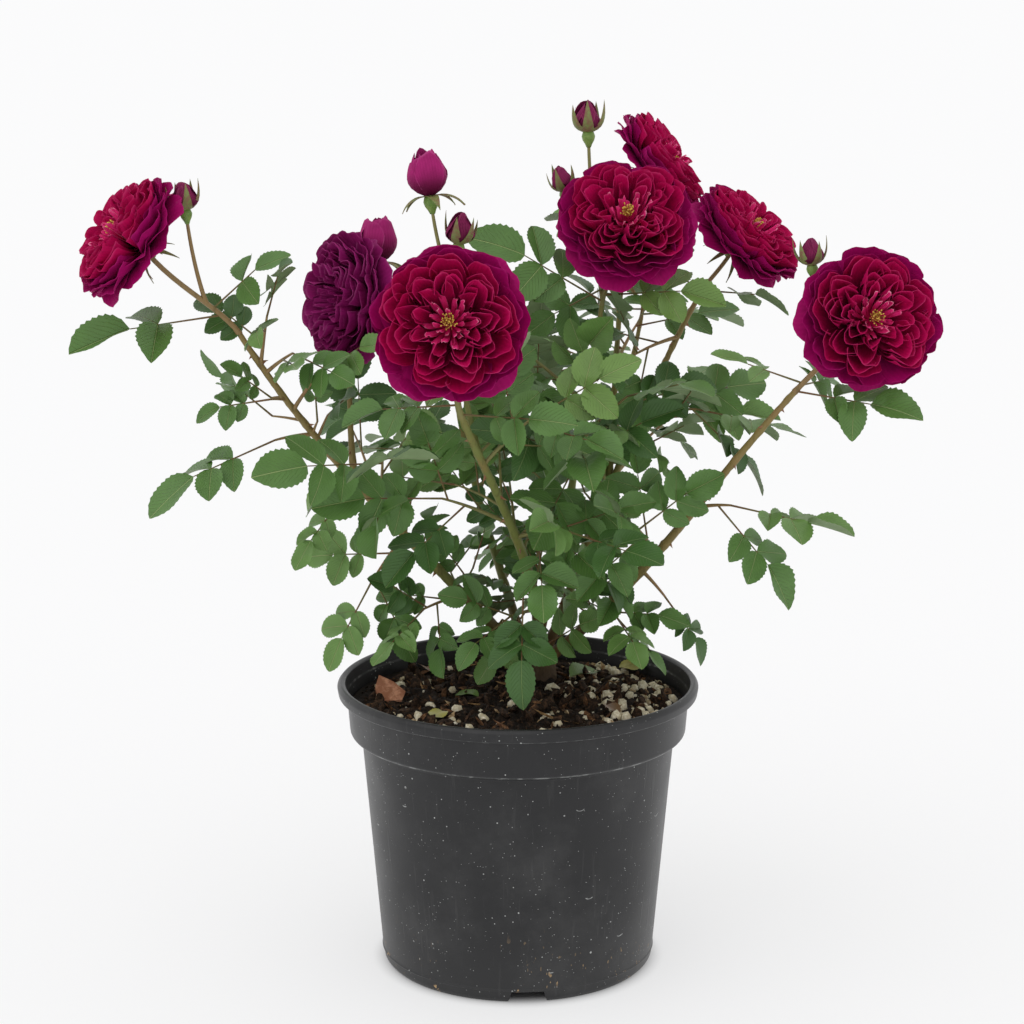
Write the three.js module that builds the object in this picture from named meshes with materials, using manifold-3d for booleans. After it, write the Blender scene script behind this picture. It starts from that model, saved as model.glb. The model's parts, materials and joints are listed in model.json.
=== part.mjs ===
// A shrub rose in a round nursery pot: canes that spring from one bud union, flowering tops with
// double blooms and buds, and leafy shoots of compound leaves. Millimetres, +Z up. The origin is
// the middle of the pot's flat underside, and the plant's front looks along -Y.
import * as THREE from "three";
import { mergeVertices } from "three/addons/utils/BufferGeometryUtils.js";
import Module from "manifold-3d";

const wasm = await Module();
wasm.setup();

// ---------------------------------------------------------------- driving dimensions
const GAP = 0.3; // between neighbouring pieces
const FINEST = 0.1; // edges shorter than this are closed up
const POT = {
  height: 193,
  footRadius: 90.4,
  bodyTopRadius: 104,
  collarFoot: 158.5,
  collarRadius: 112.5,
  rimRadius: 120,
  rimHeight: 9,
  rimWidth: 5.5, // of its flat top
  wall: 2.6,
  floor: 4,
  sides: 30,
};
const NOTCH = { count: 4, turn: -86, width: 21, height: 8, depth: 17 };
const SOIL = { top: 177, mound: 3, roughness: 1.6 };
const UNION = { x: 12, y: 50, bottom: 174, top: 203, radius: 14, flare: 1.35 };

const CANE_SIDES = 6;
const CANE_STEPS = 7;

// Each cane is one arching limb: its foot, two handles that set how it rises and bends, and its
// tip, with its radius at foot and tip. A cane with "from" forks off another at that share of it.
const CANES = {
  left: { line: [[5, 46, 194], [-56, 18, 268], [-127, -4, 339], [-178, -17, 426]], radius: [4.2, 2.6] },
  front: { line: [[13, 42, 194], [20, 4, 263], [-16, -42, 327], [-35, -88, 385]], radius: [4.2, 3.2] },
  centre: { line: [[12, 52, 196], [31, 47, 282], [44, 10, 359], [54, 2, 442]], radius: [3.8, 2.2] },
  rightBack: { line: [[19, 58, 194], [51, 54, 279], [78, 45, 364], [121, 56, 442]], radius: [3.8, 2.3] },
  right: { line: [[21, 47, 194], [88, 29, 254], [120, -17, 323], [176, -32, 391]], radius: [4.2, 2.7] },
  backLeft: { line: [[6, 58, 194], [-16, 78, 262], [-36, 100, 316], [-42, 112, 360]], radius: [3.8, 2.2] },
  twin: { from: ["left", 0.59], rise: [[-2, -2, 32], [-2, 2, 30], [4, 2, 26]], radius: [2.5, 2.0] },
  pair: { from: ["front", 0.84], rise: [[-8, 8, 30], [-6, 6, 34], [-2, 4, 30]], radius: [2.4, 1.9] },
  high: { from: ["rightBack", 0.45], rise: [[4, 14, 55], [2, 16, 58], [6, 10, 54]], radius: [2.7, 2.0] },
  backRight: { from: ["rightBack", 0.27], rise: [[14, 40, 46], [18, 32, 56], [10, 16, 48]], radius: [2.8, 2] },
};

// Flowering tops. The main stem runs on from the cane's tip to the back of the bloom, which looks
// along "faces". Buds stand on side stems that leave the main stem at a share of it.
const TOPS = {
  left: {
    stem: [[-12, -4, 14], [-40, -10, 32], [-57, -12, 55]],
    bloom: { size: 90, faces: [-0.76, -0.3, 0.58] },
    buds: [{ at: 0.42, base: [-31, -8, 74], size: 19, open: 0 }],
    leaves: [
      { at: 0.26, to: [-50, -18, 14], size: 100, leaflets: 3 },
      { at: 0.35, to: [27, -12, 65], size: 64, leaflets: 3 },
    ],
  },
  twin: {
    stem: [[0, 0, 10], [6, 4, 20], [8, 6, 30]],
    bloom: { size: 90, faces: [-0.82, -0.5, 0.12] },
    buds: [{ at: 0.2, base: [1, 18, 47], size: 24, open: 1 }],
    leaves: [{ at: 0.1, to: [30, -30, -10], size: 70, leaflets: 3 }],
  },
  front: {
    stem: [[-2, -8, 14], [-4, -12, 34], [-5, -14, 58]],
    bloom: { size: 98, faces: [-0.06, -0.965, 0.25] },
    buds: [],
    leaves: [
      { at: 0.05, to: [30, -14, 6], size: 78, leaflets: 5 },
      { at: 0.2, to: [-26, -2, 10], size: 80, leaflets: 5 },
    ],
  },
  pair: {
    stem: [[0, 2, 10], [2, 2, 20], [3, 2, 30]],
    bloom: null,
    buds: [
      { at: 0.25, base: [-13, 6, 58], size: 23, open: 1 },
      { at: 1, base: [3, 2, 30], size: 20, open: 0 },
    ],
    leaves: [],
  },
  centre: {
    stem: [[3, 0, 10], [10, 4, 26], [15, 6, 46]],
    bloom: { size: 92, faces: [0.04, -0.78, 0.62] },
    buds: [
      { at: 0.1, base: [-7, 12, 106], size: 21, open: 0 },
      { at: 0.3, base: [-22, 2, 70], size: 17, open: 0 },
    ],
    leaves: [
      { at: 0.08, to: [-74, -17, 64], size: 100, leaflets: 5 },
      { at: 0.2, to: [54, -14, 22], size: 84, leaflets: 5 },
      { at: 0.34, to: [-36, 8, -2], size: 66, leaflets: 3 },
    ],
  },
  high: {
    stem: [[2, 2, 10], [8, 4, 24], [12, 6, 42]],
    bloom: { size: 82, faces: [0.8, -0.14, 0.58] },
    buds: [],
    leaves: [
      { at: 0.1, to: [-30, 30, 16], size: 78, leaflets: 3 },
      { at: 0.3, to: [40, 34, 6], size: 70, leaflets: 3 },
    ],
  },
  rightBack: {
    stem: [[6, 0, 8], [14, 2, 16], [22, 2, 30]],
    bloom: { size: 84, faces: [0.62, -0.3, 0.72] },
    buds: [],
    leaves: [
      { at: 0.1, to: [26, -12, 6], size: 64, leaflets: 3 },
      { at: 0.1, to: [-26, -8, 26], size: 70, leaflets: 3 },
    ],
  },
  right: {
    stem: [[6, -4, 16], [24, -6, 26], [42, -8, 46]],
    bloom: { size: 93, faces: [0.16, -0.95, 0.27] },
    buds: [{ at: 0.55, base: [10, -4, 76], size: 18, open: 0 }],
    leaves: [
      { at: 0.02, to: [33, -18, 2], size: 88, leaflets: 5 },
      { at: 0.15, to: [-30, -6, 24], size: 64, leaflets: 3 },
      { at: 0.12, to: [18, 24, 8], size: 60, leaflets: 5 },
    ],
  },
  backLeft: {
    stem: [[-1, 4, 12], [-2, 8, 24], [-4, 11, 36]],
    bloom: { size: 82, faces: [-0.15, 0.8, 0.58] },
    buds: [{ at: 0.3, base: [14, 2, 48], size: 18, open: 0 }],
    leaves: [
      { at: 0.1, to: [30, 26, 12], size: 80, leaflets: 3 },
      { at: 0.3, to: [-34, 8, 8], size: 76, leaflets: 3 },
    ],
  },
  backRight: {
    stem: [[0, 4, 12], [2, 8, 22], [4, 10, 34]],
    bloom: null,
    buds: [
      { at: 1, base: [4, 10, 34], size: 22, open: 1 },
      { at: 0.3, base: [-12, 8, 34], size: 17, open: 0 },
    ],
    leaves: [
      { at: 0.1, to: [34, 18, 8], size: 84, leaflets: 3 },
      { at: 0.2, to: [-20, 30, 10], size: 84, leaflets: 3 },
    ],
  },
};

// Leafy shoots: the cane and the share of it where the shoot starts, where its tip stands from
// there, how many leaves it bears below its last one, and how long those leaves are. A leaf that
// stands open to the sky has its five leaflets; inside the crown three larger ones stand for them.
const SHOOTS = {
  leftUpper: { on: ["left", 0.92], to: [6, -14, 34], leaves: 3, size: 60 },
  leftInner: { on: ["left", 0.9], to: [18, -8, 14], leaves: 1, size: 68 },
  leftOuter: { on: ["left", 0.8], to: [18, -16, 26], leaves: 0, size: 62, open: true },
  leftLow: { on: ["left", 0.73], to: [-24, -10, -2], leaves: 0, size: 98, open: true },
  leftDown: { on: ["left", 0.58], to: [-10, -8, -8], leaves: 0, size: 58, open: true },
  leftHang: { on: ["left", 0.42], to: [-22, -8, -30], leaves: 2, size: 70, open: true },
  leftSide: { on: ["left", 0.5], to: [4, -52, 44], leaves: 3, size: 98 },
  leftBack: { on: ["left", 0.5], to: [-16, 46, 34], leaves: 2, size: 84 },
  leftFoot: { on: ["left", 0.22], to: [-26, -22, -4], leaves: 3, size: 62 },
  apron: { on: ["front", 0.42], to: [0, -20, -16], leaves: 0, size: 88, open: true },
  frontLeft: { on: ["front", 0.55], to: [-44, -12, 20], leaves: 3, size: 86 },
  frontRight: { on: ["front", 0.5], to: [34, -38, 12], leaves: 3, size: 84 },
  frontHigh: { on: ["front", 0.8], to: [30, -4, 30], leaves: 3, size: 84 },
  frontFoot: { on: ["front", 0.2], to: [-18, -26, 2], leaves: 3, size: 60 },
  centreFront: { on: ["centre", 0.52], to: [2, -56, 26], leaves: 3, size: 100 },
  centreLeft: { on: ["centre", 0.72], to: [-42, -18, 40], leaves: 3, size: 86 },
  centreRight: { on: ["centre", 0.62], to: [30, -22, 34], leaves: 3, size: 88 },
  centreBack: { on: ["centre", 0.5], to: [-26, 40, 44], leaves: 2, size: 84 },
  rightMid: { on: ["rightBack", 0.66], to: [36, -28, 10], leaves: 3, size: 84 },
  rightTop: { on: ["rightBack", 0.88], to: [-30, -26, -8], leaves: 3, size: 84 },
  rightSide: { on: ["rightBack", 0.5], to: [34, 30, 30], leaves: 2, size: 80 },
  rightFoot: { on: ["right", 0.2], to: [8, -26, 2], leaves: 3, size: 62 },
  rightInner: { on: ["right", 0.42], to: [-14, -34, 26], leaves: 3, size: 76 },
  rightHang: { on: ["right", 0.36], to: [16, -2, -18], leaves: 1, size: 56, open: true },
  rightLow: { on: ["right", 0.6], to: [22, -12, 4], leaves: 1, size: 90, open: true },
  highBack: { on: ["high", 0.5], to: [16, 40, 22], leaves: 2, size: 82 },
  backFoot: { on: ["backLeft", 0.25], to: [16, 40, 8], leaves: 3, size: 64 },
  backMiddle: { on: ["backLeft", 0.6], to: [44, 22, 26], leaves: 2, size: 84 },
  backOuter: { on: ["backLeft", 0.66], to: [-42, 4, 16], leaves: 2, size: 80 },
  backSide: { on: ["backRight", 0.5], to: [40, 4, 12], leaves: 2, size: 80 },
  backHigh: { on: ["backRight", 0.7], to: [-26, 24, 16], leaves: 2, size: 80 },
};

const LEAF = {
  petiole: 0.31, // share of a leaf's length up to its first pair
  secondPair: 0.47, // and up to its second
  onlyPair: 0.42, // or up to the one pair of a leaf of three
  larger: 1.12, // how much larger the leaflets are where three stand for five
  lastBase: 0.6, // and up to its end leaflet
  side: 0.33, // length of a side leaflet, as a share of the leaf
  splay: 62, // degrees between a side leaflet and the leaf's stalk
  width: 0.68, // of a leaflet's length
  belly: 1.15, // over 1, a leaflet is widest below its middle
  fold: 0.07, // how far its edges lift, as a share of its width
  thickness: 1.1,
  stalk: 1.0, // radius
  sink: 0.25, // how far a leaflet's foot reaches into the stalk
  sag: 0.3, // how far the stalk bends down towards its end
  lean: 56, // degrees between a leaf and its shoot
  turn: 144, // degrees round the shoot from each leaf to the next
  clear: 7, // between the leaflets of different leaves
  tries: 9,
};
const LIGHT = [0, -0.34, 0.72]; // leaves turn their upper faces this way and outwards
const AXIS = [12, 40]; // x and y of the upright line that "outwards" is measured from
const SEED = 20;

// ---------------------------------------------------------------- vectors and chance
const vec = (p) => new THREE.Vector3(...p);
const mix = (a, b, share) => a + (b - a) * share;
const radians = THREE.MathUtils.degToRad;
const UP = new THREE.Vector3(0, 0, 1);
const DOWN = new THREE.Vector3(0, 0, -1);

function seeded(seed) {
  let state = seed | 0;
  return () => {
    state = (state + 0x6d2b79f5) | 0;
    let t = Math.imul(state ^ (state >>> 15), 1 | state);
    t = (t + Math.imul(t ^ (t >>> 7), 61 | t)) ^ t;
    return ((t ^ (t >>> 14)) >>> 0) / 4294967296;
  };
}

// A direction turned towards another by a share.
const leaning = (a, b, share) => a.clone().addScaledVector(b, share).normalize();

// The part of a vector that is square to a direction, as a unit vector.
function squareTo(direction, v) {
  const part = v.clone().addScaledVector(direction, -v.dot(direction));
  if (part.lengthSq() < 1e-6) part.set(1, 0, 0).addScaledVector(direction, -direction.x);
  return part.normalize();
}

// ---------------------------------------------------------------- the rule of growth
function caneCurve(name) {
  const cane = CANES[name];
  if (!cane.from) return new THREE.CubicBezierCurve3(...cane.line.map(vec));
  const points = [caneCurve(cane.from[0]).getPoint(cane.from[1])];
  for (const step of cane.rise) points.push(points.at(-1).clone().add(vec(step)));
  return new THREE.CubicBezierCurve3(...points);
}

// Everything that a new twig or leaf has to keep clear of.
const taken = { limbs: [], leafPoints: [], balls: [] };

function addLimb(curve, radius, steps, owner) {
  for (let i = 0; i < steps; i += 1) {
    taken.limbs.push({ a: curve.getPoint(i / steps), b: curve.getPoint((i + 1) / steps), radius, owner });
  }
}

function distanceToSegment(p, a, b) {
  const ab = b.clone().sub(a);
  const share = THREE.MathUtils.clamp(p.clone().sub(a).dot(ab) / ab.lengthSq(), 0, 1);
  return p.distanceTo(a.clone().addScaledVector(ab, share));
}

// Points over a leaflet's face, which stand for it when it is tested.
function samplesOf(leaflet) {
  const across = leaflet.along.clone().cross(leaflet.normal);
  const spots = [[0.16, 0], [0.42, 0.27], [0.42, -0.27], [0.7, 0.18], [0.7, -0.18], [0.94, 0]];
  return spots.map(([v, u]) =>
    leaflet.base.clone()
      .addScaledVector(leaflet.along, v * leaflet.length)
      .addScaledVector(across, u * leaflet.width));
}

const outsidePot = (p) => (Math.hypot(p.x, p.y) < POT.rimRadius + 4 ? p.z > POT.height + 3 : p.z > 40);

function isClear(points, margin, limbMargin, owner) {
  return points.every((p) =>
    outsidePot(p)
    && taken.balls.every((b) => p.distanceTo(b.centre) > b.radius)
    && taken.leafPoints.every((q) => p.distanceToSquared(q) > margin * margin)
    && taken.limbs.every((l) => l.owner === owner || distanceToSegment(p, l.a, l.b) > l.radius + limbMargin));
}

// One compound leaf: a stalk that sags a little, side leaflets in pairs and an end leaflet.
function compoundLeaf(root, direction, size, count, random) {
  const end = leaning(direction, DOWN, LEAF.sag);
  const half = size * LEAF.lastBase * 0.5;
  const stalk = new THREE.LineCurve3(
    root, root.clone().addScaledVector(direction, half).addScaledVector(end, half));
  const outward = new THREE.Vector3(root.x - AXIS[0], root.y - AXIS[1], 0).normalize().multiplyScalar(0.45);
  const wish = vec(LIGHT).add(outward)
    .add(new THREE.Vector3(random() - 0.5, random() - 0.5, random() - 0.5).multiplyScalar(0.7));
  const leaflets = [];
  const add = (share, side, length) => {
    const base = stalk.getPoint(share);
    const tangent = stalk.getTangent(share);
    const normal = squareTo(tangent, wish);
    const across = tangent.clone().cross(normal).multiplyScalar(side);
    const angle = radians(LEAF.splay + (random() - 0.5) * 24);
    let along = side === 0
      ? leaning(tangent, normal, (random() - 0.6) * 0.3)
      : tangent.clone().multiplyScalar(Math.cos(angle)).addScaledVector(across, Math.sin(angle));
    along = leaning(along, DOWN, random() * 0.28);
    const tilt = normal.addScaledVector(across, (random() - 0.35) * 0.5);
    const long = length * mix(0.9, 1.1, random());
    const width = long * LEAF.width * mix(0.92, 1.08, random());
    leaflets.push({ base, along, normal: squareTo(along, tilt), length: long, width });
  };
  const pairs = count === 5 ? [LEAF.petiole, LEAF.secondPair] : [LEAF.onlyPair];
  const larger = count === 5 ? 1 : LEAF.larger;
  pairs.forEach((share, i) => {
    const length = size * LEAF.side * larger * (count === 5 ? mix(0.84, 1, i) : 1);
    add(share / LEAF.lastBase, 1, length);
    add(share / LEAF.lastBase, -1, length);
  });
  add(1, 0, size * (1 - LEAF.lastBase) * larger);
  return { stalk, leaflets };
}

// Tries a leaf a few ways and keeps the one that loses fewest leaflets.
function growLeaf(owner, root, direction, size, count, random) {
  let best = null;
  for (let i = 0; i < LEAF.tries; i += 1) {
    const shake = new THREE.Vector3(random() - 0.5, random() - 0.5, random() - 0.5);
    const leaf = compoundLeaf(root, leaning(direction, shake, 0.12 + 0.12 * i), size, count, random);
    const stalkPoints = [0.35, 0.6, 0.8, 1].map((t) => leaf.stalk.getPoint(t));
    if (!isClear(stalkPoints, 4.5, 2.5, owner)) continue;
    leaf.leaflets = leaf.leaflets.filter((l) => isClear(samplesOf(l), LEAF.clear, 3.5, owner));
    if (!best || leaf.leaflets.length > best.leaflets.length) best = leaf;
    if (best.leaflets.length === count) break;
  }
  if (!best || best.leaflets.length < Math.ceil(count / 2)) return null;
  addLimb(best.stalk, LEAF.stalk, 3, owner);
  for (const l of best.leaflets) taken.leafPoints.push(...samplesOf(l));
  return best;
}

// A shoot: a stem that starts on its cane, leaves set round it by a fixed turn, and an end leaf.
function growShoot(name, shoot, random) {
  const cane = caneCurve(shoot.on[0]);
  const root = cane.getPoint(shoot.on[1]);
  const to = vec(shoot.to);
  const stem = new THREE.QuadraticBezierCurve3(
    root,
    root.clone().addScaledVector(to, 0.5).addScaledVector(UP, to.length() * 0.06),
    root.clone().add(to),
  );
  addLimb(stem, 1.4, 4, name);
  const count = shoot.open ? 5 : 3;
  const leaves = [];
  const first = random() * 360;
  for (let i = 0; i < shoot.leaves; i += 1) {
    const share = mix(0.42, 0.92, shoot.leaves === 1 ? 0.4 : i / (shoot.leaves - 1));
    const tangent = stem.getTangent(share);
    const side = squareTo(tangent, UP);
    const across = tangent.clone().cross(side);
    const round = radians(first + i * LEAF.turn);
    const away = side.multiplyScalar(Math.cos(round)).addScaledVector(across, Math.sin(round));
    const direction = tangent.multiplyScalar(Math.cos(radians(LEAF.lean)))
      .addScaledVector(away, Math.sin(radians(LEAF.lean)))
      .addScaledVector(UP, 0.12).normalize();
    const size = shoot.size * mix(0.85, 1, random());
    leaves.push(growLeaf(name, stem.getPoint(share), direction, size, count, random));
  }
  leaves.push(growLeaf(name, stem.getPoint(1), stem.getTangent(1), shoot.size, count, random));
  return { name, cane: shoot.on[0], stem, leaves: leaves.filter(Boolean) };
}

// A flowering top: its main stem, bloom, buds on side stems, and leaves.
function planTop(name, top) {
  const cane = caneCurve(name);
  const tip = cane.getPoint(1);
  const line = [tip, ...top.stem.map((p) => tip.clone().add(vec(p)))];
  line[1] = tip.clone().addScaledVector(cane.getTangent(1), vec(top.stem[0]).length());
  const stem = new THREE.CubicBezierCurve3(...line);
  const planned = { name, stem, bloom: null, buds: [], leaves: [] };
  if (top.bloom) {
    const faces = vec(top.bloom.faces).normalize();
    const base = stem.getPoint(1);
    planned.bloom = { base, faces, size: top.bloom.size };
    const centre = base.clone().addScaledVector(faces, top.bloom.size * 0.26);
    taken.balls.push({ centre, radius: top.bloom.size * 0.5 });
  }
  for (const bud of top.buds) {
    const start = stem.getPoint(bud.at);
    const base = tip.clone().add(vec(bud.base));
    const last = bud.at === 1;
    const up = last ? stem.getTangent(1) : leaning(base.clone().sub(start).normalize(), UP, 0.8);
    const side = last ? null : new THREE.QuadraticBezierCurve3(
      start, base.clone().addScaledVector(up, -0.55 * base.distanceTo(start)), base);
    planned.buds.push({ stem: side, base, faces: up, size: bud.size, open: bud.open });
    taken.balls.push({ centre: base.clone().addScaledVector(up, bud.size * 0.7), radius: bud.size * 0.75 });
    if (side) addLimb(side, 1.2, 4, "top:" + name);
  }
  addLimb(stem, 2, 4, "top:" + name);
  return planned;
}

function growTopLeaves(planned, random) {
  const tip = planned.stem.getPoint(0);
  for (const leaf of TOPS[planned.name].leaves) {
    const root = planned.stem.getPoint(leaf.at);
    const direction = tip.clone().add(vec(leaf.to)).sub(root).normalize();
    planned.leaves.push(growLeaf("top:" + planned.name, root, direction, leaf.size, leaf.leaflets, random));
  }
  planned.leaves = planned.leaves.filter(Boolean);
}

// ---------------------------------------------------------------- solids
function solidOf(geometry) {
  const bare = geometry.clone();
  bare.deleteAttribute("normal");
  bare.deleteAttribute("uv");
  const merged = mergeVertices(bare, 1e-3);
  return new wasm.Manifold(new wasm.Mesh({
    numProp: 3,
    vertProperties: new Float32Array(merged.attributes.position.array),
    triVerts: new Uint32Array(merged.index.array),
  }));
}

function join(solids) {
  let level = [...solids];
  while (level.length > 1) {
    const next = level.length % 2 ? [level.pop()] : [];
    for (let i = 0; i < level.length; i += 2) next.push(level[i].add(level[i + 1]));
    level = next;
  }
  return level[0];
}

const largestOf = (solid) => solid.decompose().sort((a, b) => b.volume() - a.volume())[0];

function geometryOf(solid) {
  const mesh = solid.getMesh();
  const geometry = new THREE.BufferGeometry();
  const points = new Float32Array(mesh.numVert * 3);
  for (let i = 0; i < mesh.numVert; i += 1) {
    points.set(mesh.vertProperties.subarray(i * mesh.numProp, i * mesh.numProp + 3), i * 3);
  }
  geometry.setAttribute("position", new THREE.BufferAttribute(points, 3));
  geometry.setIndex(new THREE.BufferAttribute(new Uint32Array(mesh.triVerts), 1));
  return geometry;
}

// One body without hollows: short edges are closed up, and loose scraps and sealed pockets dropped.
const tidied = (solid) => largestOf(solidOf(geometryOf(largestOf(solid.simplify(FINEST)))));

// Moves each vertex of a geometry to where a function of its place says.
function reshape(geometry, place) {
  const position = geometry.attributes.position;
  const p = new THREE.Vector3();
  for (let i = 0; i < position.count; i += 1) {
    p.fromBufferAttribute(position, i);
    place(p);
    position.setXYZ(i, p.x, p.y, p.z);
  }
  return geometry;
}

// A tapering limb: a closed cylinder bent along a curve, from share "start" of it.
function limb(curve, footRadius, tipRadius, sides, steps, grow = 0, start = 0) {
  const cylinder = new THREE.CylinderGeometry(tipRadius + grow, footRadius + grow, 1, sides, steps);
  const chord = curve.getPoint(1).sub(curve.getPoint(0)).normalize();
  const reference = Math.abs(chord.z) < 0.8 ? UP : new THREE.Vector3(0, 1, 0);
  reshape(cylinder, (p) => {
    const share = mix(start, 1, p.y + 0.5);
    const tangent = curve.getTangent(share);
    const side = squareTo(tangent, reference);
    const across = side.clone().cross(tangent);
    const foot = curve.getPoint(share);
    p.copy(foot.addScaledVector(side, p.x).addScaledVector(across, p.z));
  });
  return solidOf(cylinder);
}

// A leaflet or sepal: a flattened ball of eight faces, widest below its middle, folded along its rib.
function blade({ base, along, normal, length, width }, thickness, fold, sink) {
  const across = along.clone().cross(normal);
  const ball = new THREE.SphereGeometry(1, 4, 2);
  reshape(ball, (p) => {
    const forward = mix(-sink, length, ((p.x + 1) / 2) ** LEAF.belly);
    const sideways = p.z * width * 0.5;
    const lift = p.y * thickness * 0.5 + Math.abs(p.z) * fold * width;
    p.copy(base).addScaledVector(along, forward)
      .addScaledVector(across, sideways).addScaledVector(normal, lift);
  });
  return solidOf(ball);
}

function potSolid() {
  const { height, footRadius, bodyTopRadius, collarFoot, collarRadius, rimRadius, wall, floor, sides } = POT;
  const rimFoot = height - POT.rimHeight;
  const profile = [
    [0, 0], [footRadius - 3, 0], [footRadius, 3],
    [bodyTopRadius, collarFoot - 2], [collarRadius - 1, collarFoot],
    [collarRadius + 1, rimFoot], [rimRadius - 1, rimFoot], [rimRadius, height - 3],
    [rimRadius - 2.5, height], [rimRadius - POT.rimWidth, height - 1],
    [collarRadius - wall, collarFoot + 2], [bodyTopRadius - wall, collarFoot - 4],
    [footRadius - wall, floor], [0, floor],
  ];
  let pot = solidOf(standing(new THREE.LatheGeometry(profile.map((p) => new THREE.Vector2(...p)), sides)));
  for (let i = 0; i < NOTCH.count; i += 1) {
    const outline = new THREE.Shape([
      new THREE.Vector2(-NOTCH.width * 0.62, -1), new THREE.Vector2(NOTCH.width * 0.62, -1),
      new THREE.Vector2(NOTCH.width / 2, NOTCH.height), new THREE.Vector2(-NOTCH.width / 2, NOTCH.height),
    ]);
    const cutter = new THREE.ExtrudeGeometry(outline, { depth: NOTCH.depth + 6, bevelEnabled: false });
    cutter.rotateX(Math.PI / 2);
    cutter.translate(0, footRadius + 4, 0);
    cutter.rotateZ(radians(NOTCH.turn - 90 + (360 / NOTCH.count) * i));
    pot = pot.subtract(solidOf(cutter));
  }
  return pot;
}

// A lathe turns about +Y; this stands it on +Z.
function standing(geometry) {
  return geometry.rotateX(Math.PI / 2);
}

// The potting mix fills the pot to a little under its rim and is lumpy and slightly mounded on top.
function soilSolid(unionCutter) {
  const { footRadius, bodyTopRadius, collarFoot, collarRadius, height, wall, floor, sides } = POT;
  const random = seeded(SEED);
  const collarInner = collarRadius - wall - GAP;
  const climb = (SOIL.top - 1 - collarFoot - 2) / (height - 3 - collarFoot);
  const edge = mix(collarInner, POT.rimRadius - POT.rimWidth - GAP, climb);
  const profile = [
    [0, floor + GAP], [footRadius - wall - GAP, floor + GAP], [bodyTopRadius - wall - GAP, collarFoot - 4],
    [collarInner, collarFoot + 2], [edge, SOIL.top - 1],
    [edge * 0.66, SOIL.top + SOIL.mound * 0.5],
    [edge * 0.33, SOIL.top + SOIL.mound], [0, SOIL.top + SOIL.mound],
  ];
  const lumps = Array.from({ length: sides * 3 }, () => (random() - 0.5) * 2 * SOIL.roughness);
  const soil = standing(new THREE.LatheGeometry(profile.map((p) => new THREE.Vector2(...p)), sides));
  reshape(soil, (p) => {
    const radius = Math.hypot(p.x, p.y);
    if (p.z < SOIL.top - 0.5 || radius < 1) return;
    const turn = Math.round(((Math.atan2(p.y, p.x) / (2 * Math.PI)) + 1) * sides) % sides;
    p.z += lumps[turn * 3 + Math.round((radius / edge) * 3)];
  });
  return solidOf(soil).subtract(unionCutter);
}

// The bud union: a lumpy woody knuckle with a flared foot and a flat cut under it.
function unionSolid(grow) {
  const rows = 6;
  const column = new THREE.CylinderGeometry(1, 1, 1, 12, rows);
  reshape(column, (p) => {
    const share = p.y + 0.5;
    const turn = Math.atan2(p.z, p.x);
    const flare = mix(UNION.flare, 0.92, Math.min(1, share * 1.6));
    const taper = flare * (share > 0.99 ? 0.67 : share > 0.8 ? 0.88 : 1);
    const lumps = 1 + 0.1 * Math.cos(3 * turn + 0.6) + 0.06 * Math.cos(5 * turn);
    const radius = Math.hypot(p.x, p.z) * (UNION.radius * taper * lumps + grow);
    const z = mix(UNION.bottom - grow, UNION.top + grow, share);
    p.set(UNION.x + radius * Math.cos(turn), UNION.y - radius * Math.sin(turn), z);
  });
  return solidOf(column);
}

// A cane with the gap round it that its neighbours keep.
const caneSpace = (name) => limb(caneCurve(name), ...CANES[name].radius, CANE_SIDES, CANE_STEPS, GAP);

function caneSolid(name, cutter) {
  const whole = limb(caneCurve(name), ...CANES[name].radius, CANE_SIDES, CANE_STEPS);
  return whole.subtract(cutter);
}

// A bloom: a hip and a bowl of petals in rounds. Each round is a ring of lobes that stand up and
// out between the lobes of the next, given here by radius, height and how deep its lobes are.
const BLOOM_LOBES = 7;
const BLOOM_RINGS = [
  { radius: 0, height: -0.03, lobes: 0 },
  { radius: 0.06, height: 0.02, lobes: 0 },
  { radius: 0.28, height: 0.09, lobes: 0.02 },
  { radius: 0.465, height: 0.22, lobes: 0.03 },
  { radius: 0.38, height: 0.26, lobes: 0.02 },
  { radius: 0.36, height: 0.37, lobes: -0.03 },
  { radius: 0.24, height: 0.34, lobes: -0.01 },
  { radius: 0.19, height: 0.42, lobes: 0.025 },
  { radius: 0.08, height: 0.36, lobes: 0.01 },
  { radius: 0, height: 0.33, lobes: 0 },
];

function bloomSolid({ base, faces, size }, random) {
  const profile = BLOOM_RINGS.map(({ radius, height }) => new THREE.Vector2(radius * size, height * size));
  const bowl = new THREE.LatheGeometry(profile, BLOOM_LOBES * 2);
  const side = squareTo(faces, UP);
  const across = side.clone().cross(faces);
  const phase = random() * 6;
  reshape(bowl, (p) => {
    const { x, y, z } = p;
    const turn = Math.atan2(x, z);
    const radius = Math.hypot(x, z);
    const ring = BLOOM_RINGS.find((r) => Math.abs(r.height * size - y) < 1e-3);
    const spread = radius > 0 ? 1 + (ring.lobes * size * Math.cos(BLOOM_LOBES * turn)) / radius : 1;
    const rise = y + Math.abs(ring.lobes) * size * 0.5 * Math.sin(3 * turn + phase);
    p.copy(base).addScaledVector(faces, rise)
      .addScaledVector(side, x * spread).addScaledVector(across, z * spread);
  });
  return solidOf(bowl);
}

// A bud: a hip, a pointed or half-open body, and five spread sepals if it is opening. The sepals of
// a closed bud are pressed to it.
const SEPALS = { count: 5, droop: -10, length: 1.2, width: 0.26, thickness: 1.2 };

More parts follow.
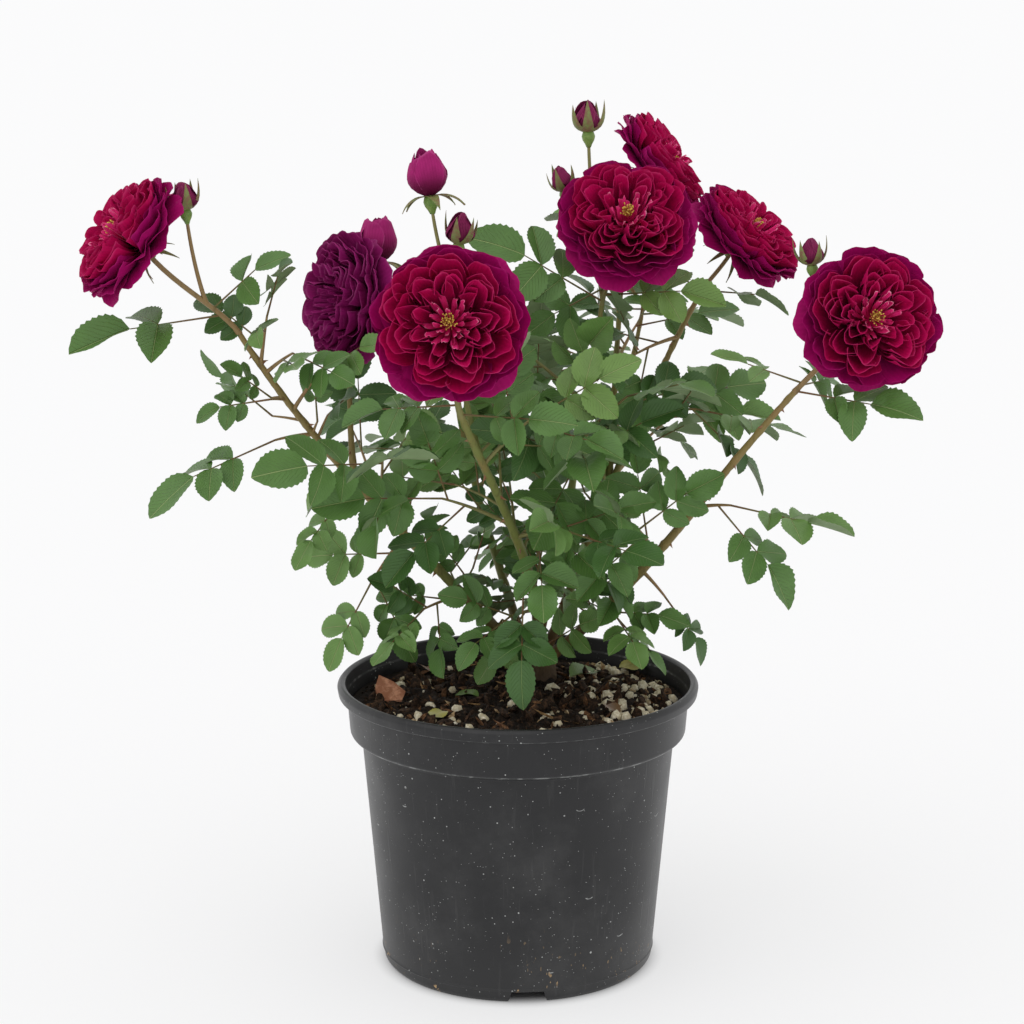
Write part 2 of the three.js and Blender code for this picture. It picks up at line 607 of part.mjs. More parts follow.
function budSolid({ base, faces, size, open }) {
  const girth = mix(0.36, 0.5, open);
  const profile = [
    [0, -0.1], [0.2, 0.06], [0.16, 0.26], [girth, 0.6],
    [girth * mix(0.7, 0.9, open), 1], [0, mix(1.4, 1.25, open)],
  ];
  const body = new THREE.LatheGeometry(profile.map(([r, z]) => new THREE.Vector2(r * size, z * size)), 6);
  const side = squareTo(faces, new THREE.Vector3(1, 0, 0));
  const across = side.clone().cross(faces);
  reshape(body, (p) => {
    const { x, y, z } = p;
    p.copy(base).addScaledVector(faces, y).addScaledVector(side, x).addScaledVector(across, z);
  });
  const solids = [solidOf(body)];
  const droop = radians(SEPALS.droop);
  for (let i = 0; open && i < SEPALS.count; i += 1) {
    const turn = (2 * Math.PI * i) / SEPALS.count;
    const out = side.clone().multiplyScalar(Math.cos(turn)).addScaledVector(across, Math.sin(turn));
    solids.push(blade({
      base: base.clone().addScaledVector(faces, 0.26 * size).addScaledVector(out, 0.04 * size),
      along: out.clone().multiplyScalar(Math.cos(droop)).addScaledVector(faces, Math.sin(droop)),
      normal: faces.clone().multiplyScalar(Math.cos(droop)).addScaledVector(out, -Math.sin(droop)),
      length: SEPALS.length * size,
      width: SEPALS.width * size,
    }, SEPALS.thickness, 0, 0));
  }
  return join(solids);
}

// ---------------------------------------------------------------- keeping each node to its own space
const built = [];

function touches(solid) {
  const box = solid.boundingBox();
  return built.some((other) => {
    const b = other.boundingBox();
    if (box.min.some((low, k) => low > b.max[k] + GAP || box.max[k] < b.min[k] - GAP)) return false;
    return solid.intersect(other).volume() > 0;
  });
}

function leafSolids(leaf) {
  const stalk = limb(leaf.stalk, LEAF.stalk, LEAF.stalk * 0.8, 3, 1);
  return [stalk, ...leaf.leaflets.map((l) => blade(l, LEAF.thickness, LEAF.fold, LEAF.sink))];
}

// Leaf solids that would cross another node's solid are left off, and their leaf with its stalk.
function clearLeaves(leaves) {
  const kept = [];
  for (const leaf of leaves) {
    const [stalk, ...leaflets] = leafSolids(leaf);
    if (!touches(stalk)) kept.push(stalk, ...leaflets.filter((solid) => !touches(solid)));
  }
  return kept;
}

// ---------------------------------------------------------------- assembly
const paint = (hex, roughness) => new THREE.MeshStandardMaterial({ color: hex, roughness, metalness: 0 });
const MATERIALS = {
  pot: paint(0x2b2c2e, 0.5),
  soil: paint(0x35261d, 0.95),
  wood: paint(0x5d4a31, 0.8),
  cane: paint(0x6f6f3a, 0.6),
  leaf: paint(0x3a5b35, 0.6),
  bloom: paint(0x7d0a43, 0.7),
};

const rose = new THREE.Group();

function place(name, rough, material) {
  const solid = tidied(rough);
  built.push(solid);
  const mesh = new THREE.Mesh(geometryOf(solid), material);
  mesh.name = name;
  rose.add(mesh);
}

const snake = (name) => name.replace(/[A-Z]/g, (c) => "_" + c.toLowerCase());

place("pot", potSolid(), MATERIALS.pot);
place("soil", soilSolid(unionSolid(GAP)), MATERIALS.soil);
place("bud_union", unionSolid(0), MATERIALS.wood);

for (const name of Object.keys(CANES)) {
  const { from } = CANES[name];
  const cutter = from ? caneSpace(from[0]) : unionSolid(GAP);
  place("cane_" + snake(name), caneSolid(name, cutter), MATERIALS.cane);
  addLimb(caneCurve(name), CANES[name].radius[0] * 0.8, 10, name);
}

const tops = Object.keys(TOPS).map((name) => planTop(name, TOPS[name]));
for (const top of tops) growTopLeaves(top, seeded(SEED + 100 + top.name.length * 7));
const shoots = Object.entries(SHOOTS).map(
  ([name, shoot], i) => growShoot(name, shoot, seeded(SEED + 200 + i * 13)));

for (const top of tops) {
  const random = seeded(SEED + 300 + top.name.length);
  const radius = CANES[top.name].radius[1];
  const clearOfTip = GAP / (3 * top.stem.v0.distanceTo(top.stem.v1));
  const solids = [limb(top.stem, radius, radius * 0.8, 6, 3, 0, clearOfTip)];
  for (const bud of top.buds) {
    if (bud.stem) solids.push(limb(bud.stem, 1.5, 1.2, 4, 3));
    solids.push(budSolid(bud));
  }
  if (top.bloom) solids.push(bloomSolid(top.bloom, random));
  solids.push(...clearLeaves(top.leaves));
  place("top_" + snake(top.name), join(solids), top.bloom ? MATERIALS.bloom : MATERIALS.leaf);
}

for (const shoot of shoots) {
  const solids = [limb(shoot.stem, 1.5, 1.1, 3, 2), ...clearLeaves(shoot.leaves)];
  place("shoot_" + snake(shoot.name), join(solids).subtract(caneSpace(shoot.cane)), MATERIALS.leaf);
}

export default rose;
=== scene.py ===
"""A shrub rose in a round nursery pot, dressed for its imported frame.

The plant grows here by the rule that its solids follow, with the same seeds, and is carried on from
there to finer twigs, true-size leaflets and full double blooms. Lengths are millimetres throughout,
and a mesh is turned into the frame's metres when its object is made.
"""

import json
import logging
import math
from dataclasses import dataclass
from enum import Enum
from typing import Callable, Iterable, Optional, Sequence, Union

import bmesh
import bpy
import numpy as np
from mathutils import Euler, Matrix, Vector, noise

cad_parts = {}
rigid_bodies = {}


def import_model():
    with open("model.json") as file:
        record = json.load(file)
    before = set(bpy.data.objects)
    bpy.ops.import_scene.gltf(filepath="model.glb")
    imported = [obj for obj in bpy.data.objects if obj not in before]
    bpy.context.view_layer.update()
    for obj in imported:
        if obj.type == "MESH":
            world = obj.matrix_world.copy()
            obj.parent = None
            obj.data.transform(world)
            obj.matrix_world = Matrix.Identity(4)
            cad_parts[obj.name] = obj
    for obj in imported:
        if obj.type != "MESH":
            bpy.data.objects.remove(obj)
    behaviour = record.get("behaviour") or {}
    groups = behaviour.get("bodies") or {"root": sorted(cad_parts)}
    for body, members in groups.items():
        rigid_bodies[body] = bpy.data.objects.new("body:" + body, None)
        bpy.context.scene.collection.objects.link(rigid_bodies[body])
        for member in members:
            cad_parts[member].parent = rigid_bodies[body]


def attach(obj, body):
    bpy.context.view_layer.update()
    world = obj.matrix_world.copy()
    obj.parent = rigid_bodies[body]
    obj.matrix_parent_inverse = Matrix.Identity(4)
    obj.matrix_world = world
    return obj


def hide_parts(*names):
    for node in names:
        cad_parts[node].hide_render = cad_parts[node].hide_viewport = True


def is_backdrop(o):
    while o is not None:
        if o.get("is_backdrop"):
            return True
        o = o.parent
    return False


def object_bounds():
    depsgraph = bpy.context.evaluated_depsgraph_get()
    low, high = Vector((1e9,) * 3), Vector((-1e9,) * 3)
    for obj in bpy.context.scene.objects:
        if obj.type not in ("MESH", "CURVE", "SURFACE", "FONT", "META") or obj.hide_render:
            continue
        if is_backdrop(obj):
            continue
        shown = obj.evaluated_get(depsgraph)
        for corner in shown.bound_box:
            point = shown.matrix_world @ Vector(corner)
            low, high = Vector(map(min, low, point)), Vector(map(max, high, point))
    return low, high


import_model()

LOG = logging.getLogger("rose")
MM = 0.001
GOLDEN_TURN = math.radians(137.508)
BODY = "root"

Triple = tuple[float, float, float]


# ---------------------------------------------------------------- vectors and chance
def vec(values: Sequence[float]) -> np.ndarray:
    """Turns three numbers into a vector."""
    return np.array(values, float)


def unit(v: np.ndarray) -> np.ndarray:
    """A vector's direction."""
    return v / math.sqrt(v @ v)


def mix(a: float, b: float, share: float) -> float:
    """The value at a share of the way from a to b."""
    return a + (b - a) * share


def leaning(a: np.ndarray, b: np.ndarray, share: float) -> np.ndarray:
    """A direction turned towards another by a share."""
    return unit(a + b * share)


def square_to(direction: np.ndarray, v: np.ndarray) -> np.ndarray:
    """The part of a vector that is square to a direction, as a unit vector.

    Args:
        direction: the direction, of unit length.
        v: the vector.

    Returns:
        That part's direction, or another square one where the vector runs along the direction.
    """
    part = v - direction * (v @ direction)
    if part @ part < 1e-6:
        part = vec((1, 0, 0)) - direction * direction[0]
    return unit(part)


UP = vec((0, 0, 1))
DOWN = -UP
ORIGIN = vec((0, 0, 0))


def circle(count: int) -> np.ndarray:
    """The cosines and sines of evenly shared turns, as rows of two."""
    turns = np.arange(count) * 2 * math.pi / count
    return np.stack([np.cos(turns), np.sin(turns)], -1)


class Chance:
    """Seeded chance that gives the same numbers as the source of the solids."""

    MASK = 0xFFFFFFFF
    STEP = 0x6D2B79F5

    def __init__(self, seed: int) -> None:
        """Starts at a whole-number seed."""
        self.state = seed & self.MASK

    def __call__(self) -> float:
        """The next number from 0 up to 1.

        Returns:
            The number.
        """
        self.state = (self.state + self.STEP) & self.MASK
        t = ((self.state ^ (self.state >> 15)) * (1 | self.state)) & self.MASK
        t = ((t + (((t ^ (t >> 7)) * (61 | t)) & self.MASK)) & self.MASK) ^ t
        return ((t ^ (t >> 14)) & self.MASK) / (self.MASK + 1)

    def between(self, low: float, high: float) -> float:
        """The next number between two bounds."""
        return mix(low, high, self())

    def jitter(self) -> np.ndarray:
        """A vector whose three numbers lie within half a unit of nothing."""
        return vec((self() - 0.5, self() - 0.5, self() - 0.5))


@dataclass(frozen=True)
class Curve:
    """A Bezier curve through two, three or four points."""

    points: tuple[np.ndarray, ...]

    def at(self, share: float) -> np.ndarray:
        """The point at a share of the curve.

        Args:
            share: from 0 at its start to 1 at its end.

        Returns:
            The point.
        """
        level = list(self.points)
        while len(level) > 1:
            level = [a + (b - a) * share for a, b in zip(level, level[1:])]
        return level[0]

    def tangent(self, share: float) -> np.ndarray:
        """The curve's direction at a share of it.

        Args:
            share: from 0 at its start to 1 at its end.

        Returns:
            A unit vector.
        """
        if len(self.points) == 2:
            return unit(self.points[1] - self.points[0])
        step = 0.0001
        return unit(self.at(min(1, share + step)) - self.at(max(0, share - step)))

    def first_part(self, share: float) -> "Curve":
        """The curve's part from its start up to a share of it.

        Args:
            share: where it is cut.

        Returns:
            The part, as a curve of as many points.
        """
        level, kept = list(self.points), [self.points[0]]
        while len(level) > 1:
            level = [a + (b - a) * share for a, b in zip(level, level[1:])]
            kept.append(level[0])
        return Curve(tuple(kept))

    def sampled(self, count: int, start: float = 0.0, end: float = 1.0) -> np.ndarray:
        """Evenly shared points along the curve, as rows."""
        return np.array([self.at(mix(start, end, i / (count - 1))) for i in range(count)])


# ---------------------------------------------------------------- the plan of the plant
@dataclass(frozen=True)
class Cane:
    """One arching limb: its curve, or the rises that it takes from where it forks off."""

    line: tuple[Triple, ...]
    radius: tuple[float, float]
    fork: Optional[tuple[str, float]] = None


@dataclass(frozen=True)
class BloomPlan:
    """A bloom at the end of a stem: its width and the way it faces."""

    size: float
    faces: Triple


@dataclass(frozen=True)
class BudPlan:
    """A bud on a side stem, or at the stem's end where at is 1."""

    at: float
    base: Triple
    size: float
    open: bool


@dataclass(frozen=True)
class LeafPlan:
    """A leaf of a flowering top: where it leaves the stem and where its end points."""

    at: float
    to: Triple
    size: float
    leaflets: int


@dataclass(frozen=True)
class TopPlan:
    """A flowering top, placed from its cane's tip."""

    stem: tuple[Triple, ...]
    bloom: Optional[BloomPlan]
    buds: tuple[BudPlan, ...] = ()
    leaves: tuple[LeafPlan, ...] = ()


@dataclass(frozen=True)
class ShootPlan:
    """A leafy shoot: its cane and share of it, its reach, its leaves and how long they are."""

    cane: str
    at: float
    to: Triple
    leaves: int
    size: float
    open: bool = False


CANES = {
    "left": Cane(((5, 46, 194), (-56, 18, 268), (-127, -4, 339), (-178, -17, 426)), (4.2, 2.6)),
    "front": Cane(((13, 42, 194), (20, 4, 263), (-16, -42, 327), (-35, -88, 385)), (4.2, 3.2)),
    "centre": Cane(((12, 52, 196), (31, 47, 282), (44, 10, 359), (54, 2, 442)), (3.8, 2.2)),
    "right_back": Cane(((19, 58, 194), (51, 54, 279), (78, 45, 364), (121, 56, 442)), (3.8, 2.3)),
    "right": Cane(((21, 47, 194), (88, 29, 254), (120, -17, 323), (176, -32, 391)), (4.2, 2.7)),
    "back_left": Cane(((6, 58, 194), (-16, 78, 262), (-36, 100, 316), (-42, 112, 360)), (3.8, 2.2)),
    "twin": Cane(((-2, -2, 32), (-2, 2, 30), (4, 2, 26)), (2.5, 2.0), ("left", 0.59)),
    "pair": Cane(((-8, 8, 30), (-6, 6, 34), (-2, 4, 30)), (2.4, 1.9), ("front", 0.84)),
    "high": Cane(((4, 14, 55), (2, 16, 58), (6, 10, 54)), (2.7, 2.0), ("right_back", 0.45)),
    "back_right": Cane(((14, 40, 46), (18, 32, 56), (10, 16, 48)), (2.8, 2), ("right_back", 0.27)),
}

TOPS = {
    "left": TopPlan(
        ((-12, -4, 14), (-40, -10, 32), (-57, -12, 55)), BloomPlan(90, (-0.76, -0.3, 0.58)),
        (BudPlan(0.42, (-31, -8, 74), 19, False),),
        leaves=(LeafPlan(0.26, (-50, -18, 14), 100, 3), LeafPlan(0.35, (27, -12, 65), 64, 3))),
    "twin": TopPlan(
        ((0, 0, 10), (6, 4, 20), (8, 6, 30)), BloomPlan(90, (-0.82, -0.5, 0.12)),
        (BudPlan(0.2, (1, 18, 47), 24, True),),
        leaves=(LeafPlan(0.1, (30, -30, -10), 70, 3),)),
    "front": TopPlan(
        ((-2, -8, 14), (-4, -12, 34), (-5, -14, 58)), BloomPlan(98, (-0.06, -0.965, 0.25)),
        leaves=(LeafPlan(0.05, (30, -14, 6), 78, 5), LeafPlan(0.2, (-26, -2, 10), 80, 5))),
    "pair": TopPlan(
        ((0, 2, 10), (2, 2, 20), (3, 2, 30)), None,
        (BudPlan(0.25, (-13, 6, 58), 23, True), BudPlan(1, (3, 2, 30), 20, False))),
    "centre": TopPlan(
        ((3, 0, 10), (10, 4, 26), (15, 6, 46)), BloomPlan(92, (0.04, -0.78, 0.62)),
        (BudPlan(0.1, (-7, 12, 106), 21, False), BudPlan(0.3, (-22, 2, 70), 17, False)),
        leaves=(LeafPlan(0.08, (-74, -17, 64), 100, 5), LeafPlan(0.2, (54, -14, 22), 84, 5),
                LeafPlan(0.34, (-36, 8, -2), 66, 3))),
    "high": TopPlan(
        ((2, 2, 10), (8, 4, 24), (12, 6, 42)), BloomPlan(82, (0.8, -0.14, 0.58)),
        leaves=(LeafPlan(0.1, (-30, 30, 16), 78, 3), LeafPlan(0.3, (40, 34, 6), 70, 3))),
    "right_back": TopPlan(
        ((6, 0, 8), (14, 2, 16), (22, 2, 30)), BloomPlan(84, (0.62, -0.3, 0.72)),
        leaves=(LeafPlan(0.1, (26, -12, 6), 64, 3), LeafPlan(0.1, (-26, -8, 26), 70, 3))),
    "right": TopPlan(
        ((6, -4, 16), (24, -6, 26), (42, -8, 46)), BloomPlan(93, (0.16, -0.95, 0.27)),
        (BudPlan(0.55, (10, -4, 76), 18, False),),
        leaves=(LeafPlan(0.02, (33, -18, 2), 88, 5), LeafPlan(0.15, (-30, -6, 24), 64, 3),
                LeafPlan(0.12, (18, 24, 8), 60, 5))),
    "back_left": TopPlan(
        ((-1, 4, 12), (-2, 8, 24), (-4, 11, 36)), BloomPlan(82, (-0.15, 0.8, 0.58)),
        (BudPlan(0.3, (14, 2, 48), 18, False),),
        leaves=(LeafPlan(0.1, (30, 26, 12), 80, 3), LeafPlan(0.3, (-34, 8, 8), 76, 3))),
    "back_right": TopPlan(
        ((0, 4, 12), (2, 8, 22), (4, 10, 34)), None,
        (BudPlan(1, (4, 10, 34), 22, True), BudPlan(0.3, (-12, 8, 34), 17, False)),
        leaves=(LeafPlan(0.1, (34, 18, 8), 84, 3), LeafPlan(0.2, (-20, 30, 10), 84, 3))),
}

SHOOTS = {
    "left_upper": ShootPlan("left", 0.92, (6, -14, 34), 3, 60),
    "left_inner": ShootPlan("left", 0.9, (18, -8, 14), 1, 68),
    "left_outer": ShootPlan("left", 0.8, (18, -16, 26), 0, 62, True),
    "left_low": ShootPlan("left", 0.73, (-24, -10, -2), 0, 98, True),
    "left_down": ShootPlan("left", 0.58, (-10, -8, -8), 0, 58, True),
    "left_hang": ShootPlan("left", 0.42, (-22, -8, -30), 2, 70, True),
    "left_side": ShootPlan("left", 0.5, (4, -52, 44), 3, 98),
    "left_back": ShootPlan("left", 0.5, (-16, 46, 34), 2, 84),
    "left_foot": ShootPlan("left", 0.22, (-26, -22, -4), 3, 62),
    "apron": ShootPlan("front", 0.42, (0, -20, -16), 0, 88, True),
    "front_left": ShootPlan("front", 0.55, (-44, -12, 20), 3, 86),
    "front_right": ShootPlan("front", 0.5, (34, -38, 12), 3, 84),
    "front_high": ShootPlan("front", 0.8, (30, -4, 30), 3, 84),
    "front_foot": ShootPlan("front", 0.2, (-18, -26, 2), 3, 60),
    "centre_front": ShootPlan("centre", 0.52, (2, -56, 26), 3, 100),
    "centre_left": ShootPlan("centre", 0.72, (-42, -18, 40), 3, 86),
    "centre_right": ShootPlan("centre", 0.62, (30, -22, 34), 3, 88),
    "centre_back": ShootPlan("centre", 0.5, (-26, 40, 44), 2, 84),
    "right_mid": ShootPlan("right_back", 0.66, (36, -28, 10), 3, 84),
    "right_top": ShootPlan("right_back", 0.88, (-30, -26, -8), 3, 84),
    "right_side": ShootPlan("right_back", 0.5, (34, 30, 30), 2, 80),
    "right_foot": ShootPlan("right", 0.2, (8, -26, 2), 3, 62),
    "right_inner": ShootPlan("right", 0.42, (-14, -34, 26), 3, 76),
    "right_hang": ShootPlan("right", 0.36, (16, -2, -18), 1, 56, True),
    "right_low": ShootPlan("right", 0.6, (22, -12, 4), 1, 90, True),
    "high_back": ShootPlan("high", 0.5, (16, 40, 22), 2, 82),
    "back_foot": ShootPlan("back_left", 0.25, (16, 40, 8), 3, 64),
    "back_middle": ShootPlan("back_left", 0.6, (44, 22, 26), 2, 84),
    "back_outer": ShootPlan("back_left", 0.66, (-42, 4, 16), 2, 80),
    "back_side": ShootPlan("back_right", 0.5, (40, 4, 12), 2, 80),
    "back_high": ShootPlan("back_right", 0.7, (-26, 24, 16), 2, 80),
}


@dataclass(frozen=True)
class LeafRule:
    """How a compound leaf is laid out and how leaves stand on a shoot."""

    petiole: float = 0.31
    second_pair: float = 0.47
    only_pair: float = 0.42
    larger: float = 1.12
    last_base: float = 0.6
    side: float = 0.33
    splay: float = 62
    width: float = 0.68
    sag: float = 0.3
    lean: float = 56
    turn: float = 144
    clear: float = 7
    tries: int = 9
    stalk: float = 1.0
    light: Triple = (0, -0.34, 0.72)
    axis: tuple[float, float] = (12, 40)
    outward: float = 0.45
    scatter: float = 0.7
    smaller: float = 0.84
    splay_play: float = 24
    shake: float = 0.12
    stalk_clear: float = 4.5
    stalk_limb_clear: float = 2.5
    limb_clear: float = 3.5
    lift: float = 0.12


RULE = LeafRule()
SEED = 20
# Each use of chance starts at a seed of its own, so that one can change without the others.
TOP_SEEDS, SHOOT_SEEDS, LEAFLET_SEEDS = SEED + 100, SEED + 200, SEED + 900
SHOOT_SEED_STEP, LEAF_SEED_STEP = 13, 7
LITTER_SEED, PRICKLE_SEED, TINT_SEED, PETAL_SEED = SEED + 7, SEED + 31, SEED + 55, SEED + 71


# ---------------------------------------------------------------- what has grown
@dataclass(eq=False)
class Leaflet:
    """One leaflet's place, direction, upper side and size."""

    base: np.ndarray
    along: np.ndarray
    normal: np.ndarray
    length: float
    width: float

    SPOTS = np.array([[0.16, 0], [0.42, 0.27], [0.42, -0.27], [0.7, 0.18], [0.7, -0.18], [0.94, 0]])

    def spots(self) -> np.ndarray:
        """Points over the leaflet's face, which stand for it when it is tested."""
        across = np.cross(self.along, self.normal)
        return (self.base + self.SPOTS[:, :1] * self.length * self.along
                + self.SPOTS[:, 1:] * self.width * across)


@dataclass(eq=False)
class Leaf:
    """A compound leaf: its stalk, its leaflets and the way its upper side wants to face."""

    stalk: Curve
    leaflets: list[Leaflet]
    size: float
    wish: np.ndarray
    young: bool = False

    STALK_STEPS = 3


@dataclass(eq=False)
class Stem:
    """A stem of the plant with its radius at foot and tip."""

    curve: Curve
    foot: float
    tip: float


@dataclass(eq=False)
class Bloom:
    """A full double bloom."""

    base: np.ndarray
    faces: np.ndarray
    size: float
    top: str


@dataclass(eq=False)
class Bud:
    """A closed or half-open bud."""

    base: np.ndarray
    faces: np.ndarray
    size: float
    open: bool
    stem: Optional[Stem] = None


class Room:
    """What has been taken already, and the test whether new points keep clear of it."""

    POT_REACH = 124.0
    OVER_POT = 196.0
    OVER_FLOOR = 40.0
    MOST_LIMBS = 9000
    MOST_SPOTS = 30000

    def __init__(self) -> None:
        """Starts empty."""
        self.limbs = np.zeros((self.MOST_LIMBS, 7))
        self.owners = np.zeros(self.MOST_LIMBS, int)
        self.limb_count = 0
        self.spots = np.zeros((self.MOST_SPOTS, 3))
        self.spot_count = 0
        self.balls: list[tuple[np.ndarray, float]] = []
        self.names: dict[str, int] = {}

    def owner(self, name: str) -> int:
        """The number that stands for an owner's name."""
        return self.names.setdefault(name, len(self.names))

    def add_limb(self, curve: Curve, radius: float, steps: int, owner: str) -> None:
        """Takes the room of a limb, as short straight stretches.

        Args:
            curve: its middle line.
            radius: its radius.
            steps: how many stretches stand for it.
            owner: the name of what it belongs to, which may touch it.
        """
        points = curve.sampled(steps + 1)
        for a, b in zip(points, points[1:]):
            self.limbs[self.limb_count] = [*a, *(b - a), radius]
            self.owners[self.limb_count] = self.owner(owner)
            self.limb_count += 1

    def add_leaf(self, leaf: Leaf) -> None:
        """Takes the room of a leaf's leaflets.

        Args:
            leaf: the leaf.
        """
        for leaflet in leaf.leaflets:
            spots = leaflet.spots()
            self.spots[self.spot_count:self.spot_count + len(spots)] = spots
            self.spot_count += len(spots)

    def give_back(self, leaf: Leaf) -> None:
        """Frees the room of the leaf that was grown last.

        Args:
            leaf: that leaf.
        """
        self.spot_count -= len(Leaflet.SPOTS) * len(leaf.leaflets)
        self.limb_count -= Leaf.STALK_STEPS

    def is_clear(self, points: np.ndarray, margin: float, limb_margin: float, owner: str) -> bool:
        """Tells whether points keep clear of everything.

        Args:
            points: the points, as rows.
            margin: how far they stay from other leaflets.
            limb_margin: how far they stay from limbs of other owners.
            owner: whose points they are.

        Returns:
            True if all of them do.
        """
        over_pot = np.hypot(points[:, 0], points[:, 1]) < self.POT_REACH
        if not (points[:, 2] > np.where(over_pot, self.OVER_POT, self.OVER_FLOOR)).all():
            return False
        for centre, radius in self.balls:
            if (((points - centre) ** 2).sum(1) <= radius * radius).any():
                return False
        spots = self.spots[:self.spot_count]
        if len(spots) and (((points[:, None] - spots[None]) ** 2).sum(2) <= margin * margin).any():
            return False
        others = self.owners[:self.limb_count] != self.owner(owner)
        limbs = self.limbs[:self.limb_count][others]
        start, span, radius = limbs[:, :3], limbs[:, 3:6], limbs[:, 6]
        offset = points[:, None] - start[None]
        share = np.clip((offset * span).sum(2) / (span * span).sum(1), 0, 1)
        gap = np.sqrt(((offset - share[..., None] * span) ** 2).sum(2))
        return bool((gap > radius + limb_margin).all())


# ---------------------------------------------------------------- the rule of growth
class Plant:
    """The whole plant above the potting mix, grown by the rule."""

    def __init__(self) -> None:
        """Grows it."""
        self.room = Room()
        self.canes = {name: self.cane_curve(name) for name in CANES}
        self.stems: list[Stem] = []
        self.blooms: list[Bloom] = []
        self.buds: list[Bud] = []
        self.leaves: list[Leaf] = []
        for name, curve in self.canes.items():
            self.room.add_limb(curve, CANES[name].radius[0] * 0.8, 10, name)
        tops = {name: self.plan_top(name, plan) for name, plan in TOPS.items()}
        for name, stem in tops.items():
            self.grow_top_leaves(name, stem)
        for i, (name, plan) in enumerate(SHOOTS.items()):
            self.grow_shoot(name, plan, Chance(SHOOT_SEEDS + i * SHOOT_SEED_STEP))
        for bud in self.buds:
            for bloom in self.blooms:
                self.set_back(bud, bloom)

    @staticmethod
    def set_back(bud: Bud, bloom: Bloom, step: float = 2.0, steps: int = 16) -> None:
        """Moves a bud back from a bloom until its stem no longer cuts through the petals.

        Args:
            bud: the bud, which takes its own stem along.
            bloom: the bloom.
            step: how far it moves at a time.
            steps: how many times it may move.
        """
        if bud.stem is None:
            return
        away = unit(bloom.faces * vec((-1, -1, 0))) + DOWN * 0.2
        start = bud.stem.curve.points[0]
        for _ in range(steps):
            offset = bud.stem.curve.sampled(9, 0.2) - bloom.base
            height = offset @ bloom.faces
            across = np.sqrt((offset ** 2).sum(1) - height ** 2)
            cut = (height > -1.5) & (height < bloom.size * 0.4) & (across < bloom.size * 0.5 + 1)
            if not cut.any():
                return
            bud.base = bud.base + away * step
            reach = float(np.linalg.norm(bud.base - start))
            bud.stem.curve = Curve((start, bud.base - bud.faces * 0.55 * reach, bud.base))

    def cane_curve(self, name: str) -> Curve:
        """The curve of a cane, from its foot or its fork.

        Args:
            name: its name in CANES.

        Returns:
            The curve.
        """
        cane = CANES[name]
        if cane.fork is None:
            return Curve(tuple(vec(p) for p in cane.line))
        points = [self.cane_curve(cane.fork[0]).at(cane.fork[1])]
        for step in cane.line:
            points.append(points[-1] + vec(step))
        return Curve(tuple(points))

    def compound_leaf(self, root: np.ndarray, direction: np.ndarray, size: float, count: int,
                      chance: Chance) -> Leaf:
        """One compound leaf: a stalk that sags, side leaflets in pairs and an end leaflet.

        Args:
            root: where it leaves its stem.
            direction: which way it starts.
            size: its length.
            count: five leaflets, or three larger ones.
            chance: what varies it.

        Returns:
            The leaf, not yet tested for room.
        """
        end = leaning(direction, DOWN, RULE.sag)
        half = size * RULE.last_base * 0.5
        stalk = Curve((root, root + direction * half + end * half))
        outward = unit(vec((root[0] - RULE.axis[0], root[1] - RULE.axis[1], 0))) * RULE.outward
        wish = vec(RULE.light) + outward + chance.jitter() * RULE.scatter
        leaf = Leaf(stalk, [], size, wish)
        self.set_leaflets(leaf, count, chance)
        return leaf

    def set_leaflets(self, leaf: Leaf, count: int, chance: Chance) -> None:
        """Gives a leaf its side leaflets in pairs and its end leaflet, in place of those it has.

        Args:
            leaf: the leaf.
            count: five leaflets, or three larger ones.
            chance: what varies them.
        """
        leaf.leaflets = []
        five = count == 5
        larger = leaf.size * (1 if five else RULE.larger)
        pairs = ((RULE.petiole, RULE.smaller), (RULE.second_pair, 1)) if five else ((RULE.only_pair, 1),)
        for share, small in pairs:
            for side in (1, -1):
                self.add_leaflet(leaf, share / RULE.last_base, side, RULE.side * larger * small, chance)
        self.add_leaflet(leaf, 1, 0, (1 - RULE.last_base) * larger, chance)

    @staticmethod
    def add_leaflet(leaf: Leaf, share: float, side: int, length: float, chance: Chance) -> None:
        """Sets a leaflet on a leaf's stalk.

        Args:
            leaf: the leaf, which gains it.
            share: where on the stalk it sits.
            side: 1 or -1, or 0 at the end.
            length: its length before it is varied.
            chance: what varies it.
        """
        base = leaf.stalk.at(share)
        tangent = leaf.stalk.tangent(share)
        normal = square_to(tangent, leaf.wish)
        across = np.cross(tangent, normal) * side
        angle = math.radians(RULE.splay + (chance() - 0.5) * RULE.splay_play)
        if side == 0:
            along = leaning(tangent, normal, (chance() - 0.6) * 0.3)
        else:
            along = tangent * math.cos(angle) + across * math.sin(angle)
        along = leaning(along, DOWN, chance() * 0.28)
        tilt = normal + across * (chance() - 0.35) * 0.5
        long = length * mix(0.9, 1.1, chance())
        width = long * RULE.width * mix(0.92, 1.08, chance())
        leaf.leaflets.append(Leaflet(base, along, square_to(along, tilt), long, width))

